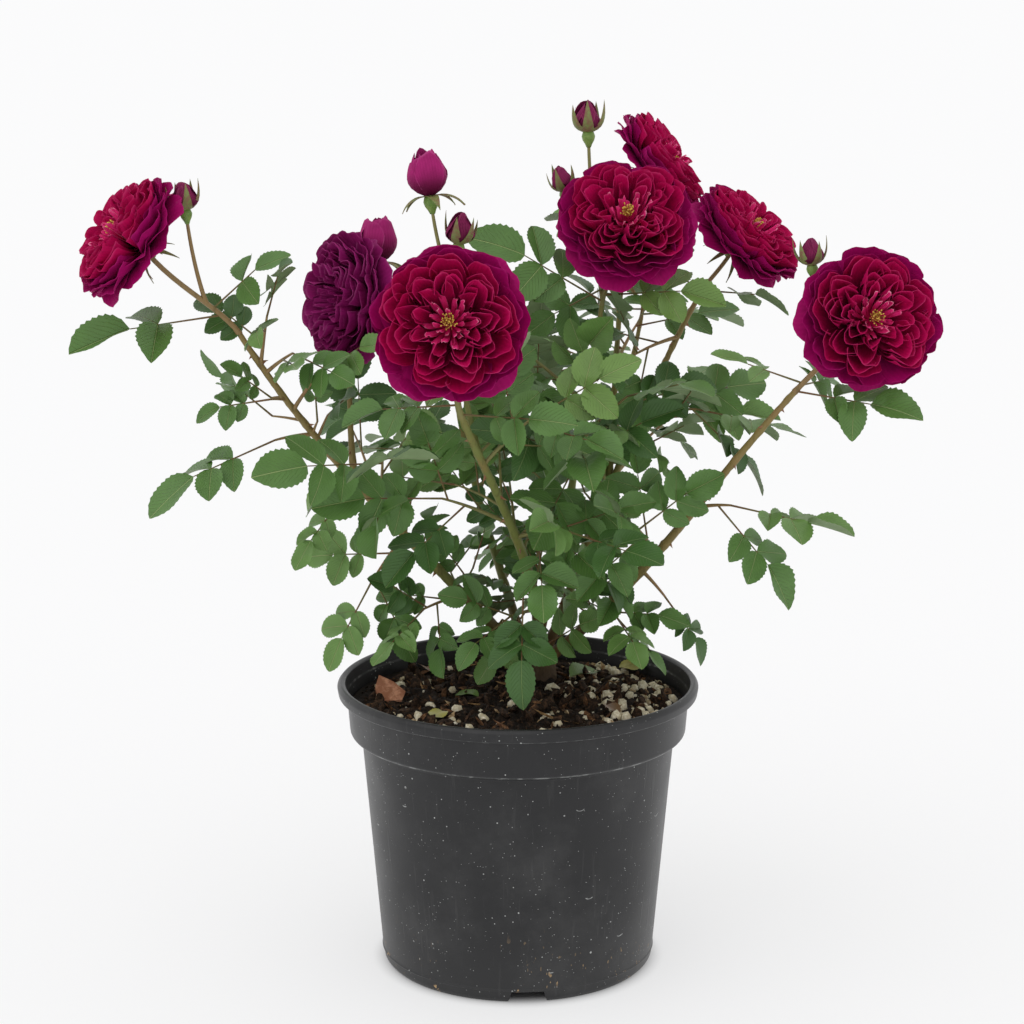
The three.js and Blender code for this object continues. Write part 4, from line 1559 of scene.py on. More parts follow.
# ---------------------------------------------------------------- finishes
@dataclass(frozen=True)
class PotPlastic:
    """Black nursery plastic with dust, dried drops, soil low down and pale lines along two edges, partly
    scuffing and partly a painted highlight.
    """

    plain: Triple = (22, 22, 24)
    dusty: Triple = (64, 64, 64)
    # Pale colour of the dried drops and specks, and of the painted highlight and scuffing along two edges.
    lime_and_highlight: Triple = (206, 208, 206)
    mud: Triple = (190, 158, 114)
    # Heights, in metres, of the pale edge lines, which are partly scuffs and partly a painted highlight.
    highlit_scuffed_heights: tuple[float, float] = (0.1838, 0.1585)

    def dress(self) -> bpy.types.Material:
        """Makes the material.

        Returns:
            The material.
        """
        s = Shader("pot_plastic", specular_ior_level=0.42)
        place = s.add("ShaderNodeMapping", {"vector_type": "POINT"},
                      {"Vector": s.where(), "Rotation": (0.5, 0.3, 0.2)})
        cloud = s.noise(16, 8, 0.66)
        height = s.along("Z")
        gathered = s.noise(17, 3).rising(0.44, 0.66)
        marks = self.drops(s)
        for scale, share in ((620, 0.3), (340, 0.2), (190, 0.08)):
            middle, own = s.cells(scale, place)
            size = own.out("Green") * 0.17 + 0.05
            chosen = (own + gathered * 0.16).rising(1.1 - share, 1.14 - share)
            marks = s.maths("MAXIMUM", marks, (size - middle).rising(0.0, 0.05) * chosen)
        scratch = s.noise(70, 3, place=s.where((4, 4, 0.12))).rising(0.62, 0.72)
        scuff_and_highlight = s.noise(140, 3).rising(0.48, 0.62)
        # Pale lines along the rim's lower edge and the collar's foot: partly scuffing, partly a painted
        # highlight where those edges catch the light.
        low, high = (abs(height - z).rising(0.0011, 0.0003) for z in self.highlit_scuffed_heights)
        edge = low + high
        dust = cloud.rising(0.42, 0.76) * 0.5 + height.rising(0.07, 0.0) * 0.2 + scratch * 0.2
        flecks = s.noise(420, 2, place=s.where((1, 1, 0.4))).rising(0.66, 0.7)
        flecks = flecks * s.noise(24, 1).rising(0.5, 0.56)
        soiled = flecks * (height + s.noise(21, 2) * 0.06).rising(0.085, 0.03)
        colour = s.blend(dust, self.plain, self.dusty)
        # Painted highlight and scuffing along those two edges, in the pale colour that the dried drops also
        # use.
        colour = s.blend(edge * (scuff_and_highlight * 0.26 + 0.07), colour, self.lime_and_highlight)
        colour = s.blend(soiled * 0.85, colour, self.mud)
        colour = s.blend(marks * (s.noise(300, 1) * 0.9 + 0.1), colour, self.lime_and_highlight)
        rough = s.noise(26, 4) * 0.18 + 0.3 + marks * 0.25 + soiled * 0.3
        relief = s.noise(1300, 2) * 0.4 + scratch * 0.5 + marks * 0.7 + soiled
        return s.feed(base_color=colour, roughness=rough, normal=s.bump(relief, 0.09))

    @staticmethod
    def drops(s: Shader) -> Wire:
        """Where water has dried, in crescents that open upwards.

        Args:
            s: the material's shader.

        Returns:
            1 on the marks and 0 elsewhere.
        """
        place = s.where((1, 1, 1.7))
        height = s.along("Z", place)
        middle, own = s.cells(44, place)
        away = s.add("ShaderNodeVectorMath", {"operation": "SUBTRACT"}, {0: place, 1: middle.out("Position")})
        below = s.along("Z", away).rising(-0.0004, -0.0016)
        ring = abs(middle - 0.13).rising(0.02, 0.006)
        return ring * below * own.rising(0.74, 0.76) * height.rising(0.25, 0.23)


@dataclass(frozen=True)
class Earth:
    """Crumbly matter, from dark potting mix to pale grains."""

    name: str
    dark: Triple
    light: Triple
    grain: float = 500
    depth: float = 0.8

    def dress(self) -> bpy.types.Material:
        """Makes the material.

        Returns:
            The material.
        """
        s = Shader(self.name, specular_ior_level=0.25)
        fine = s.noise(self.grain, 4, 0.65)
        coarse = s.noise(self.grain * 0.22, 3)
        colour = s.blend(fine.rising(0.42, 0.68) * 0.75 + coarse * 0.25, self.dark, self.light)
        return s.feed(base_color=colour, roughness=coarse * 0.15 + 0.82,
                      normal=s.bump(fine * 0.7 + s.noise(self.grain * 3, 2) * 0.3, self.depth))


@dataclass(frozen=True)
class Bark:
    """Rose bark: brown and rough at its foot, olive green and smooth further up."""

    name: str
    old: Triple
    green: Triple
    flush: Triple
    from_height: float
    to_height: float
    rough: float = 0.62
    depth: float = 0.35

    def dress(self) -> bpy.types.Material:
        """Makes the material.

        Returns:
            The material.
        """
        s = Shader(self.name, specular_ior_level=0.4)
        height = s.along("Z")
        streaks = s.noise(120, 4, place=s.where((3, 3, 0.4)))
        patches = s.noise(38, 3)
        up = (height + patches * 0.03).rising(self.from_height * MM, self.to_height * MM)
        colour = s.blend(up, self.old, self.green)
        colour = s.blend(patches.rising(0.48, 0.72) * 0.55, colour, self.flush)
        across = s.along("X")
        colour = s.blend(abs(across).rising(0.04, 0.1) * 0.6, colour, self.flush)
        colour = s.blend(streaks.rising(0.52, 0.8) * 0.6, colour, [c * 0.55 for c in self.old])
        return s.feed(base_color=colour, roughness=streaks * 0.2 + self.rough - 0.1,
                      normal=s.bump(streaks, self.depth))


@dataclass(frozen=True)
class LeafSkin:
    """One side of a rose leaflet, with its rib and the veins that leave it."""

    name: str
    blade: Triple
    rib: Triple
    rough: float = 0.43
    veins: float = 0.6

    def dress(self) -> bpy.types.Material:
        """Makes the material.

        Returns:
            The material.
        """
        s = Shader(self.name, specular_ior_level=0.42)
        u, v = s.marks()
        off_rib = abs(u - 0.5) * 2
        rib = off_rib.rising(0.05, 0.01)
        run = (v * 32 - off_rib * (off_rib * 5 + 11) + s.noise(60, 1) * 3).wave()
        veins = abs(run).rising(0.26, 0.0) * off_rib.rising(0.95, 0.5)
        cloud = s.noise(90, 2)
        colour = s.blend(cloud.rising(0.3, 0.7) * 0.3, self.blade, [c * 0.8 for c in self.blade])
        colour = s.blend(s.maths("MAXIMUM", rib * 0.75, veins * self.veins * 0.45), colour, self.rib)
        height = 1 - s.maths("MAXIMUM", rib, veins * self.veins * 0.6)
        return s.feed(base_color=colour, roughness=cloud * 0.12 + self.rough - 0.06,
                      normal=s.bump(height, 0.55))


@dataclass(frozen=True)
class Velvet:
    """A petal: darkened towards its foot by painted shade, full in its body and paler along its edge, partly
    its own pale margin and partly a painted highlight, with a velvet sheen.
    """

    name: str
    # The dark colour of the painted shade at the petal's foot, also used for its streaks.
    shade_and_streaks: Triple
    body: Triple
    edge: Triple
    pale_edge_and_highlight_share: float = 0.3
    streak: float = 0.1
    sheen: Triple = (236, 60, 170)

    def dress(self) -> bpy.types.Material:
        """Makes the material.

        Returns:
            The material.
        """
        s = Shader(self.name, specular_ior_level=0.1, sheen_weight=0.16, sheen_roughness=0.5,
                   sheen_tint=tint(*self.sheen))
        u, v = s.marks()
        rim = s.maths("MAXIMUM", abs(u - 0.5) * 2, v)
        cloud = s.noise(150, 3)
        streaks = (u * 70 + cloud * 6).wave() * 0.5 + 0.5
        # Painted shade: the colour darkens towards the petal's foot, deep inside the bloom.
        body = s.blend(v.rising(0.1, 0.74), self.shade_and_streaks, self.body)
        body = s.blend(streaks * self.streak + cloud.rising(0.4, 0.75) * 0.22, body, self.shade_and_streaks)
        # Pale band along the margin: partly the petal's own paler edge, partly a painted highlight.
        edge = rim.rising(0.9, 1.0) * (s.noise(80, 2).rising(0.4, 0.66) * 0.85 + 0.15)
        colour = s.blend(edge * self.pale_edge_and_highlight_share, body, self.edge)
        return s.feed(base_color=colour, roughness=streaks * 0.1 + 0.6, normal=s.bump(streaks, 0.06))


@dataclass(frozen=True)
class Plain:
    """A small part's finish: one colour with a little cloud in it."""

    name: str
    colour: Triple
    second: Triple
    rough: float = 0.6
    scale: float = 180

    def dress(self) -> bpy.types.Material:
        """Makes the material.

        Returns:
            The material.
        """
        s = Shader(self.name, specular_ior_level=0.35)
        cloud = s.noise(self.scale, 3)
        return s.feed(base_color=s.blend(cloud.rising(0.35, 0.7), self.colour, self.second),
                      roughness=cloud * 0.2 + self.rough - 0.1,
                      normal=s.bump(s.noise(self.scale * 6, 2), 0.1))


# ---------------------------------------------------------------- the pot and what fills it
def filleted(profile: Sequence[tuple[float, float, float]], steps: int = 5) -> np.ndarray:
    """A profile with each corner rounded.

    Args:
        profile: radius, height and rounding of each corner.
        steps: how many stretches each rounded corner has.

    Returns:
        Its points, as rows.
    """
    corners = [vec(p[:2]) for p in profile]
    points = [corners[0]]
    for before, here, after, (_, _, radius) in zip(corners, corners[1:], corners[2:], profile[1:]):
        if radius == 0:
            points.append(here)
            continue
        bend = Curve((here + unit(before - here) * radius, here, here + unit(after - here) * radius))
        points.extend(bend.sampled(steps + 1))
    return np.array([*points, corners[-1]])


@dataclass
class Pot:
    """The nursery pot: a tapered wall, a collar, a rolled rim and notches in its foot."""

    height: float = 193
    foot_radius: float = 90.4
    body_top_radius: float = 104
    collar_foot: float = 158.5
    collar_radius: float = 112.5
    rim_radius: float = 120
    rim_height: float = 9
    rim_width: float = 5.5
    wall: float = 2.6
    floor: float = 4
    ring_height: float = 9
    sides: int = 144
    notches: int = 4
    notch_turn: float = -86
    notch_width: float = 21
    notch_height: float = 8
    notch_depth: float = 17
    notch_past: float = 4
    notch_inside: float = 6
    notch_flare: float = 0.62
    sharp: float = 40

    def profile(self) -> np.ndarray:
        """The wall's section, from the middle of its underside round to the middle of its floor.

        Returns:
            Radius and height of its points, as rows.
        """
        rim_foot = self.height - self.rim_height
        slope = (self.body_top_radius - self.foot_radius) / self.collar_foot
        ring = self.foot_radius + slope * self.ring_height
        inner_foot = self.foot_radius - self.wall
        return filleted([
            (0, 0, 0), (self.foot_radius - 3, 0, 1), (self.foot_radius, 3, 2),
            (ring, self.ring_height - 0.8, 0.2), (ring + 0.6, self.ring_height, 0.2),
            (ring + 0.1, self.ring_height + 1.2, 0.2),
            (self.body_top_radius, self.collar_foot - 2.5, 2),
            (self.collar_radius - 1, self.collar_foot, 2.4),
            (self.collar_radius + 1, rim_foot, 1.6), (self.rim_radius - 1, rim_foot + 0.2, 0.9),
            (self.rim_radius, self.height - 3, 1.2), (self.rim_radius - 2.5, self.height, 1.4),
            (self.rim_radius - self.rim_width, self.height - 1, 1.2),
            (self.collar_radius - self.wall, self.collar_foot + 2, 2),
            (self.body_top_radius - self.wall, self.collar_foot - 4, 2),
            (inner_foot, self.floor, 1.5), (0, self.floor, 0),
        ])

    def cutter(self) -> bpy.types.Object:
        """The prisms that cut the notches.

        Returns:
            One object that holds them.
        """
        shape = Shape()
        far = self.foot_radius + self.notch_past
        near = far - self.notch_depth - self.notch_inside
        wide, narrow = self.notch_width * self.notch_flare, self.notch_width / 2
        section = [(-wide, -1), (wide, -1), (narrow, self.notch_height), (-narrow, self.notch_height)]
        box = np.array([[1, 0, 3, 2], [4, 5, 6, 7], [0, 1, 5, 4], [1, 2, 6, 5], [2, 3, 7, 6], [3, 0, 4, 7]])
        for i in range(self.notches):
            turn = math.radians(self.notch_turn + 360 / self.notches * i)
            out = vec((math.cos(turn), math.sin(turn), 0))
            side = vec((-math.sin(turn), math.cos(turn), 0))
            shape.add(np.array([out * r + side * x + UP * z for r in (near, far) for x, z in section]), [box])
        return shape.build("notch_cutter", [])

    def build(self) -> None:
        """Makes the dressed pot."""
        shape = Shape()
        shape.add_lathe(self.profile(), self.sides)
        pot = shape.build("nursery_pot", [PotPlastic().dress()], self.sharp)
        cutter = self.cutter()
        cut = pot.modifiers.new("notches", "BOOLEAN")
        cut.operation, cut.solver, cut.object = "DIFFERENCE", "EXACT", cutter
        graph = bpy.context.evaluated_depsgraph_get()
        mesh = bpy.data.meshes.new_from_object(pot.evaluated_get(graph), depsgraph=graph)
        pot.modifiers.remove(cut)
        pot.data = mesh
        bpy.data.objects.remove(cutter)
        mesh.set_sharp_from_angle(angle=math.radians(self.sharp))
        enter(pot, "pot_plastic", ["pot"])


class Spread(Enum):
    """Where a kind of litter lies."""

    EVERYWHERE = "everywhere"
    STONES = "stones"


@dataclass(frozen=True)
class Litter:
    """A kind of grain or chip strewn over the potting mix."""

    name: str
    finish: Earth
    per_metre: float
    apart: float
    small: float
    large: float
    flat: float
    long: float = 1.0
    where: Spread = Spread.EVERYWHERE
    tilt: float = 3.2


@dataclass
class Ground:
    """The potting mix: a lumpy mounded top with grains, chips, straws and fallen leaflets on it."""

    pot: Pot
    top: float = 177
    mound: float = 3
    edge: float = 111.5
    hollow: float = 7.0
    rings: int = 60
    sides: int = 180
    union: tuple[float, float] = (12, 50)
    lumps: tuple[Triple, ...] = ((17, 3.1, 3.2), (6, 7.7, 3.6), (2.6, 1.3, 1.8))
    chip_place: tuple[float, float] = (-86, 4)
    chip_size: float = 0.78
    chip_outline: tuple[Triple, ...] = (
        (-8, -9, -2), (11, -10, -1), (14, -4, 5), (3, 3, 12), (-9, 5, 17), (-12, -2, 8))
    litter: tuple[Litter, ...] = (
        Litter("perlite", Earth("perlite", (190, 176, 142), (246, 240, 222), 420, 0.4),
               15000, 6.0, 5.4, 11.5, 0.8, 1.4, where=Spread.STONES),
        Litter("pumice", Earth("pumice", (140, 122, 92), (214, 200, 170), 500, 0.5),
               8000, 4.8, 3.2, 7.0, 0.75, 1.25, where=Spread.STONES),
        Litter("white_grit", Earth("white_grit", (196, 188, 166), (236, 230, 212)),
               10000, 3.6, 1.2, 3.0, 0.8, where=Spread.STONES),
        Litter("dark_chips", Earth("dark_chips", (10, 6, 4), (92, 68, 50), 420, 0.9),
               7000, 5.8, 7.0, 20.0, 0.3, 2.2, tilt=1.3),
        Litter("brown_chips", Earth("brown_chips", (64, 40, 24), (150, 110, 76), 420),
               3200, 8.0, 6.0, 16.0, 0.22, 2.4, tilt=1.2),
        Litter("pale_chips", Earth("pale_chips", (146, 116, 82), (214, 188, 148), 420),
               2000, 9.0, 4.0, 13.0, 0.2, 2.4, tilt=1.1),
        Litter("crumbs", Earth("crumbs", (6, 4, 2), (74, 54, 38), 600), 34000, 2.0, 1.4, 4.6, 0.8),
        Litter("straws", Earth("straws", (112, 84, 54), (178, 144, 98), 300, 0.4),
               620, 15.0, 18.0, 46.0, 0.05, 1.0, tilt=0.35),
    )
    fallen: tuple[tuple[float, float, float, float, int], ...] = (
        (36, 44, 26, 40, 0), (-26, -4, 17, 160, 0), (-49, -39, 19, 250, 1), (58, -30, 15, 300, 2),
        (-60, 60, 22, 100, 2), (70, 70, 20, 10, 1), (-8, 88, 24, 75, 0),
    )

    def height(self, x: float, y: float) -> float:
        """The top's height at a place.

        Args:
            x: the place along X.
            y: the place along Y.

        Returns:
            The height.
        """
        share = min(1.0, math.hypot(x, y) / self.edge)
        rough = 0.0
        for wide, level, high in self.lumps:
            rough += noise.noise(Vector((x / wide, y / wide, level))) * high
        return self.top - 0.8 + self.mound * (1 - share * share) + rough * (1 - share ** 8)

    def top_rings(self, edge: float) -> np.ndarray:
        """Rings of points over the top, from the edge to the middle.

        Args:
            edge: the outermost radius.

        Returns:
            The rings, each a row of points.
        """
        rows = []
        for i in range(self.rings):
            around = circle(self.sides) * edge * (1 - i / self.rings)
            rows.append([(x, y, self.height(x, y)) for x, y in around])
        return np.array(rows)

    def build(self) -> None:
        """Makes the mix and everything on it."""
        pot, shape = self.pot, Shape()
        wall = [(pot.foot_radius - pot.wall - 0.3, pot.floor + self.hollow),
                (pot.body_top_radius - pot.wall - 0.5, pot.collar_foot - 4),
                (pot.collar_radius - pot.wall - 0.5, pot.collar_foot + 2)]
        side = np.array([[(r * x, r * y, z) for x, y in circle(self.sides)] for r, z in wall])
        rings = np.concatenate([side, self.top_rings(self.edge)])
        middle = vec((0, 0, self.height(0, 0)))
        shape.add_closed(rings, vec((0, 0, pot.floor + self.hollow)), middle)
        earth = Earth("potting_mix", (5, 3, 2), (52, 37, 25), 420, 1.4)
        enter(shape.build("potting_mix", [earth.dress()], 75), "potting_mix", ["soil"])
        chance = Chance(LITTER_SEED)
        for number, kind in enumerate(self.litter):
            self.strew(kind, number, chance)
        self.drop_leaflets()
        self.lay_chip()

    def weight(self, kind: Litter, points: np.ndarray) -> np.ndarray:
        """How thickly a kind of litter lies at points, from 0 to 1.

        Args:
            kind: the litter.
            points: the points, as rows.

        Returns:
            A share for each.
        """
        x, y = points[:, 0], points[:, 1]
        clear = np.hypot(x - self.union[0], y - self.union[1]) > 19
        if kind.where is Spread.EVERYWHERE:
            return clear.astype(float)
        right = np.clip((x - 5) / 70, 0, 1) ** 1.3
        patch = np.exp(-((x + 52) ** 2 + (y + 60) ** 2) / 800)
        return np.clip(0.07 + right + patch * 0.45, 0, 1) * clear

    def strew(self, kind: Litter, number: int, chance: Chance) -> None:
        """Strews one kind of litter by Geometry Nodes.

        Args:
            kind: the litter.
            number: its place, which sets its seed.
            chance: what varies its shapes.
        """
        rings = self.top_rings(self.edge - 3 - kind.large * 0.35)
        points = np.concatenate([rings.reshape(-1, 3), [(0, 0, self.height(0, 0))]])
        mesh = bpy.data.meshes.new(kind.name)
        faces = grid_faces(self.rings, self.sides, wrap=True).tolist()
        mesh.from_pydata((points * MM).tolist(), [], faces)
        share = mesh.attributes.new("share", "FLOAT", "POINT")
        share.data.foreach_set("value", self.weight(kind, points).astype(np.float32))
        tree = GeometryTree(kind.name + " strewn")
        spread = tree.add("GeometryNodeDistributePointsOnFaces", {"distribute_method": "POISSON"}, {
            "Mesh": tree.geometry(), "Distance Min": tree.input("Apart", "Float", kind.apart * MM),
            "Density Max": tree.input("Per square metre", "Float", kind.per_metre),
            "Density Factor": tree.attribute("share"), "Seed": tree.input("Seed", "Int", SEED + number)})
        lean = kind.tilt
        turn = tree.add("FunctionNodeRandomValue", {"data_type": "FLOAT_VECTOR"}, {
            "Min": (-lean, -lean, 0), "Max": (lean, lean, 2 * math.pi), "Seed": 3})
        size = tree.add("FunctionNodeRandomValue", {"data_type": "FLOAT"}, {
            "Min_001": tree.input("Smallest", "Float", kind.small * MM),
            "Max_001": tree.input("Largest", "Float", kind.large * MM), "Seed": 5}, "Value_001")
        pick = tree.add("FunctionNodeRandomValue", {"data_type": "INT"}, {
            "Min_002": 0, "Max_002": 4, "Seed": 9}, "Value_002")
        shapes = [self.grain(kind, chance) for _ in range(5)]
        result = tree.add("GeometryNodeSetMaterial", sockets={
            "Geometry": tree.set_out(shapes, spread, pick, turn, size),
            "Material": tree.input("Finish", "Material", kind.finish.dress())})
        strewn = tree.run(result, shown(kind.name, mesh))
        enter(finished(strewn, kind.name, 75 if kind.where is Spread.STONES else 35), "potting_mix")

    @staticmethod
    def grain(kind: Litter, chance: Chance) -> bpy.types.Mesh:
        """One shape of a kind of litter: a lumpy ball, squashed and drawn out, one unit long.

        Args:
            kind: the litter.
            chance: what varies it.

        Returns:
            The mesh.
        """
        work = bmesh.new()
        bmesh.ops.create_icosphere(work, subdivisions=1, radius=0.5)
        off = chance.jitter() * 9
        for vertex in work.verts:
            rough = 0.45 if kind.where is Spread.STONES else 0.75
            bulge = 1 + rough * noise.noise(Vector(off) + vertex.co * 2.2)
            corner = 1 if kind.flat > 0.5 else 1.25 - 0.5 * abs(vertex.co.x * vertex.co.y) * 8
            x, y, z = vertex.co
            vertex.co = Vector((x * bulge * corner, y * bulge / kind.long, z * kind.flat))
            if kind.flat < 0.1:
                vertex.co.y *= kind.flat
                vertex.co.z += 0.12 * vertex.co.x ** 2 * (1 + off[0] * 0.2)
        mesh = bpy.data.meshes.new(kind.name)
        work.to_mesh(mesh)
        work.free()
        return mesh

    def drop_leaflets(self) -> None:
        """Lays the fallen leaflets on the mix."""
        setting = Setting()
        for x, y, size, turn, colour in self.fallen:
            way = math.radians(turn)
            along = unit(vec((math.cos(way), math.sin(way), 0.12)))
            normal = square_to(along, vec((0.1, -0.15, 1)))
            place = vec((x, y, self.height(x, y) + 3.4))
            axes = (np.cross(along, normal), along, normal)
            setting.add(place, axes, (size * 0.66, size, size), colour, colour)
        skins = [LeafSkin("fallen_green", (92, 122, 52), (150, 160, 96)),
                 LeafSkin("fallen_yellow", (164, 158, 74), (190, 180, 110)),
                 LeafSkin("fallen_brown", (112, 82, 50), (150, 120, 80))]
        mesh = setting.grow("fallen_leaflets", leaflet_templates(), [(s.dress(), None) for s in skins])
        enter(finished(mesh, "fallen_leaflets", 60), "foliage")

    def lay_chip(self) -> None:
        """Lays one broad chip of bark on the mix."""
        chip = Shape()
        place = vec((*self.chip_place, self.height(*self.chip_place) + 1.5))
        base = np.array(self.chip_outline, float) * self.chip_size + place
        n = len(base)
        sides = np.array([[i, (i + 1) % n, (i + 1) % n + n, i + n] for i in range(n)])
        chip.add(np.concatenate([base, base + vec((0.3, -0.6, 1.5))]),
                 [np.array([list(range(n))[::-1]]), np.array([list(range(n, 2 * n))]), sides])
        bark = chip.build("bark_chip", [Earth("bark_chip", (150, 96, 70), (214, 160, 128), 200).dress()], 30)
        enter(bark, "potting_mix")


# ---------------------------------------------------------------- wood
def thorn_template() -> bpy.types.Mesh:
    """A prickle one unit long: a broad foot and a point that bends down the cane.

    Returns:
        The mesh.
    """
    shape = Shape()
    rings = []
    sections = ((-0.15, 0.2, 0.52, 0.05), (0.2, 0.13, 0.3, 0.0), (0.6, 0.07, 0.13, -0.14))
    for height, wide, high, drop in sections:
        rings.append([(wide * math.cos(t), high * math.sin(t) + drop, height)
                      for t in np.arange(6) * math.pi / 3])
    shape.add_closed(np.array(rings) / MM, vec((0, 0, -0.15)) / MM, vec((0, -0.34, 1)) / MM)
    return shape.template("thorn")


@dataclass
class Wood:
    """The bud union, the canes with their prickles, and the stems and stalks that they bear."""

    plant: Plant
    union_place: tuple[float, float] = (12, 50)
    union_bottom: float = 174
    union_top: float = 203
    union_radius: float = 11.5
    union_flare: float = 1.35
    union_rows: int = 26
    union_sides: int = 30
    cane_sides: int = 16
    cane_step: float = 2.6
    node_step: float = 27
    thorn_step: float = 15
    slimmer: tuple[float, float] = (0.9, 0.7)
    stem_points: int = 12
    stem_sides: int = 8
    stem_foot: float = 1.25
    stalk_points: int = 6
    stalk_sides: int = 5
    stalk_radius: tuple[float, float] = (0.75, 0.38)

    old: Bark = Bark("old_wood", (62, 45, 31), (92, 74, 48), (50, 36, 26), 184, 215, 0.75, 1.2)
    young: Bark = Bark("cane_bark", (100, 76, 50), (118, 124, 64), (142, 110, 68), 205, 290, 0.55, 0.3)
    stem: Bark = Bark("stem_bark", (116, 112, 64), (128, 126, 74), (148, 108, 74), 250, 420, 0.52, 0.2)
    stalk: Plain = Plain("stalks", (104, 102, 56), (116, 82, 54), 0.5, 60)
    thorn: Plain = Plain("thorns", (132, 84, 60), (156, 120, 88), 0.5)

    def build(self) -> None:
        """Makes all of it."""
        enter(self.bud_union(), "old_wood", ["bud_union"])
        canes = Shape()
        for name, curve in self.plant.canes.items():
            self.add_cane(canes, name, curve)
        piece = canes.build("canes", [self.young.dress()], 70)
        enter(piece, "green_bark", [f"cane_{name}" for name in CANES])
        enter(finished(self.thorns(), "prickles", 40), "green_bark")
        lines = []
        for stem in self.plant.stems:
            radii = np.linspace(stem.foot, stem.tip, self.stem_points)
            radii[0] *= self.stem_foot
            lines.append((stem.curve.sampled(self.stem_points), radii))
        nodes = [f"top_{name}" for name in TOPS] + [f"shoot_{name}" for name in SHOOTS]
        mesh = tubes("stems", lines, self.stem_sides, self.stem.dress())
        enter(finished(mesh, "stems", 60), "green_bark", nodes)
        stalks = [self.stalk_line(leaf) for leaf in self.plant.leaves]
        mesh = tubes("leaf_stalks", stalks, self.stalk_sides, self.stalk.dress())
        enter(finished(mesh, "leaf_stalks", 80), "green_bark")

    def bud_union(self) -> bpy.types.Object:
        """The knuckle at the plant's foot, from which the canes spring.

        Returns:
            The object.
        """
        x, y = self.union_place
        rings = []
        for i in range(self.union_rows):
            share = i / (self.union_rows - 1)
            flare = mix(self.union_flare, 0.92, min(1, share * 1.6))
            taper = flare * math.sqrt(max(0.0, 1 - max(0.0, (share - 0.62) / 0.38) ** 2.2 * 0.86))
            ring = []
            for k in range(self.union_sides):
                t = 2 * math.pi * k / self.union_sides
                lumps = 1 + 0.1 * math.cos(3 * t + 0.6) + 0.06 * math.cos(5 * t)
                z = mix(self.union_bottom, self.union_top, share)
                rough = noise.noise(Vector((math.cos(t) * 2.6, math.sin(t) * 2.6, z / 6))) * 0.11
                radius = self.union_radius * taper * (lumps + rough)
                ring.append((x + radius * math.cos(t), y + radius * math.sin(t), z))
            rings.append(ring)
        shape = Shape()
        shape.add_closed(np.array(rings), vec((x, y, self.union_bottom)), vec((x, y, self.union_top + 0.4)))
        return shape.build("bud_union_wood", [self.old.dress()], 80)

    def thickness(self, name: str) -> tuple[float, float]:
        """A cane's radius at its foot and at its tip, a little slimmer than its solid."""
        foot, tip = CANES[name].radius
        return foot * self.slimmer[0], tip * self.slimmer[1]

    @staticmethod
    def length(curve: Curve) -> float:
        """How long a curve is."""
        return float(np.linalg.norm(np.diff(curve.sampled(20), axis=0), axis=1).sum())

    def add_cane(self, shape: Shape, name: str, curve: Curve) -> None:
        """Adds one cane, with its nodes, its flared foot and its bark's relief.

        Args:
            shape: the piece that it joins.
            name: its name in CANES.
            curve: its middle line.
        """
        foot, tip = self.thickness(name)
        length = self.length(curve)
        count = max(12, int(length / self.cane_step))
        along = np.linspace(0, length, count)
        radii = np.linspace(foot, tip, count) + 0.9 * np.exp(-along / 7)
        radii += 0.34 * np.exp(-((along % self.node_step - self.node_step / 2) / 2.4) ** 2)

        def relief(ring: np.ndarray) -> np.ndarray:
            """How far the bark stands out at each point."""
            return np.array([[noise.noise(Vector(p) * 0.33) * 0.3 + noise.noise(Vector(p) * 1.1) * 0.14
                              for p in row] for row in ring])

        shape.add_tube(curve.sampled(count), radii, self.cane_sides, relief=relief)

    def thorns(self) -> bpy.types.Mesh:
        """The prickles, set out along the canes by Geometry Nodes.

        Returns:
            Their mesh.
        """
        chance, setting = Chance(PRICKLE_SEED), Setting()
        for name, curve in self.plant.canes.items():
            foot, tip = self.thickness(name)
            length = self.length(curve)
            turn = chance() * 6
            for i in range(1, int(length / self.thorn_step)):
                share = (i + chance() * 0.8) * self.thorn_step / length
                turn += GOLDEN_TURN
                if share > 1 or chance() < 0.25:
                    continue
                tangent = curve.tangent(share)
                side = square_to(tangent, UP + vec((0.1, 0.2, 0)))
                out = side * math.cos(turn) + np.cross(tangent, side) * math.sin(turn)
                place = curve.at(share) + out * mix(foot, tip, share) * 0.95
                size = chance.between(2.6, 4.8)
                setting.add(place, (np.cross(tangent, out), tangent, out), (size, size, size))
        return setting.grow("prickles", [thorn_template()], [(self.thorn.dress(), None)])

    def stalk_line(self, leaf: Leaf) -> tuple[np.ndarray, np.ndarray]:
        """The points and radii of a leaf's stalk."""
        return leaf.stalk.sampled(self.stalk_points), np.linspace(*self.stalk_radius, self.stalk_points)


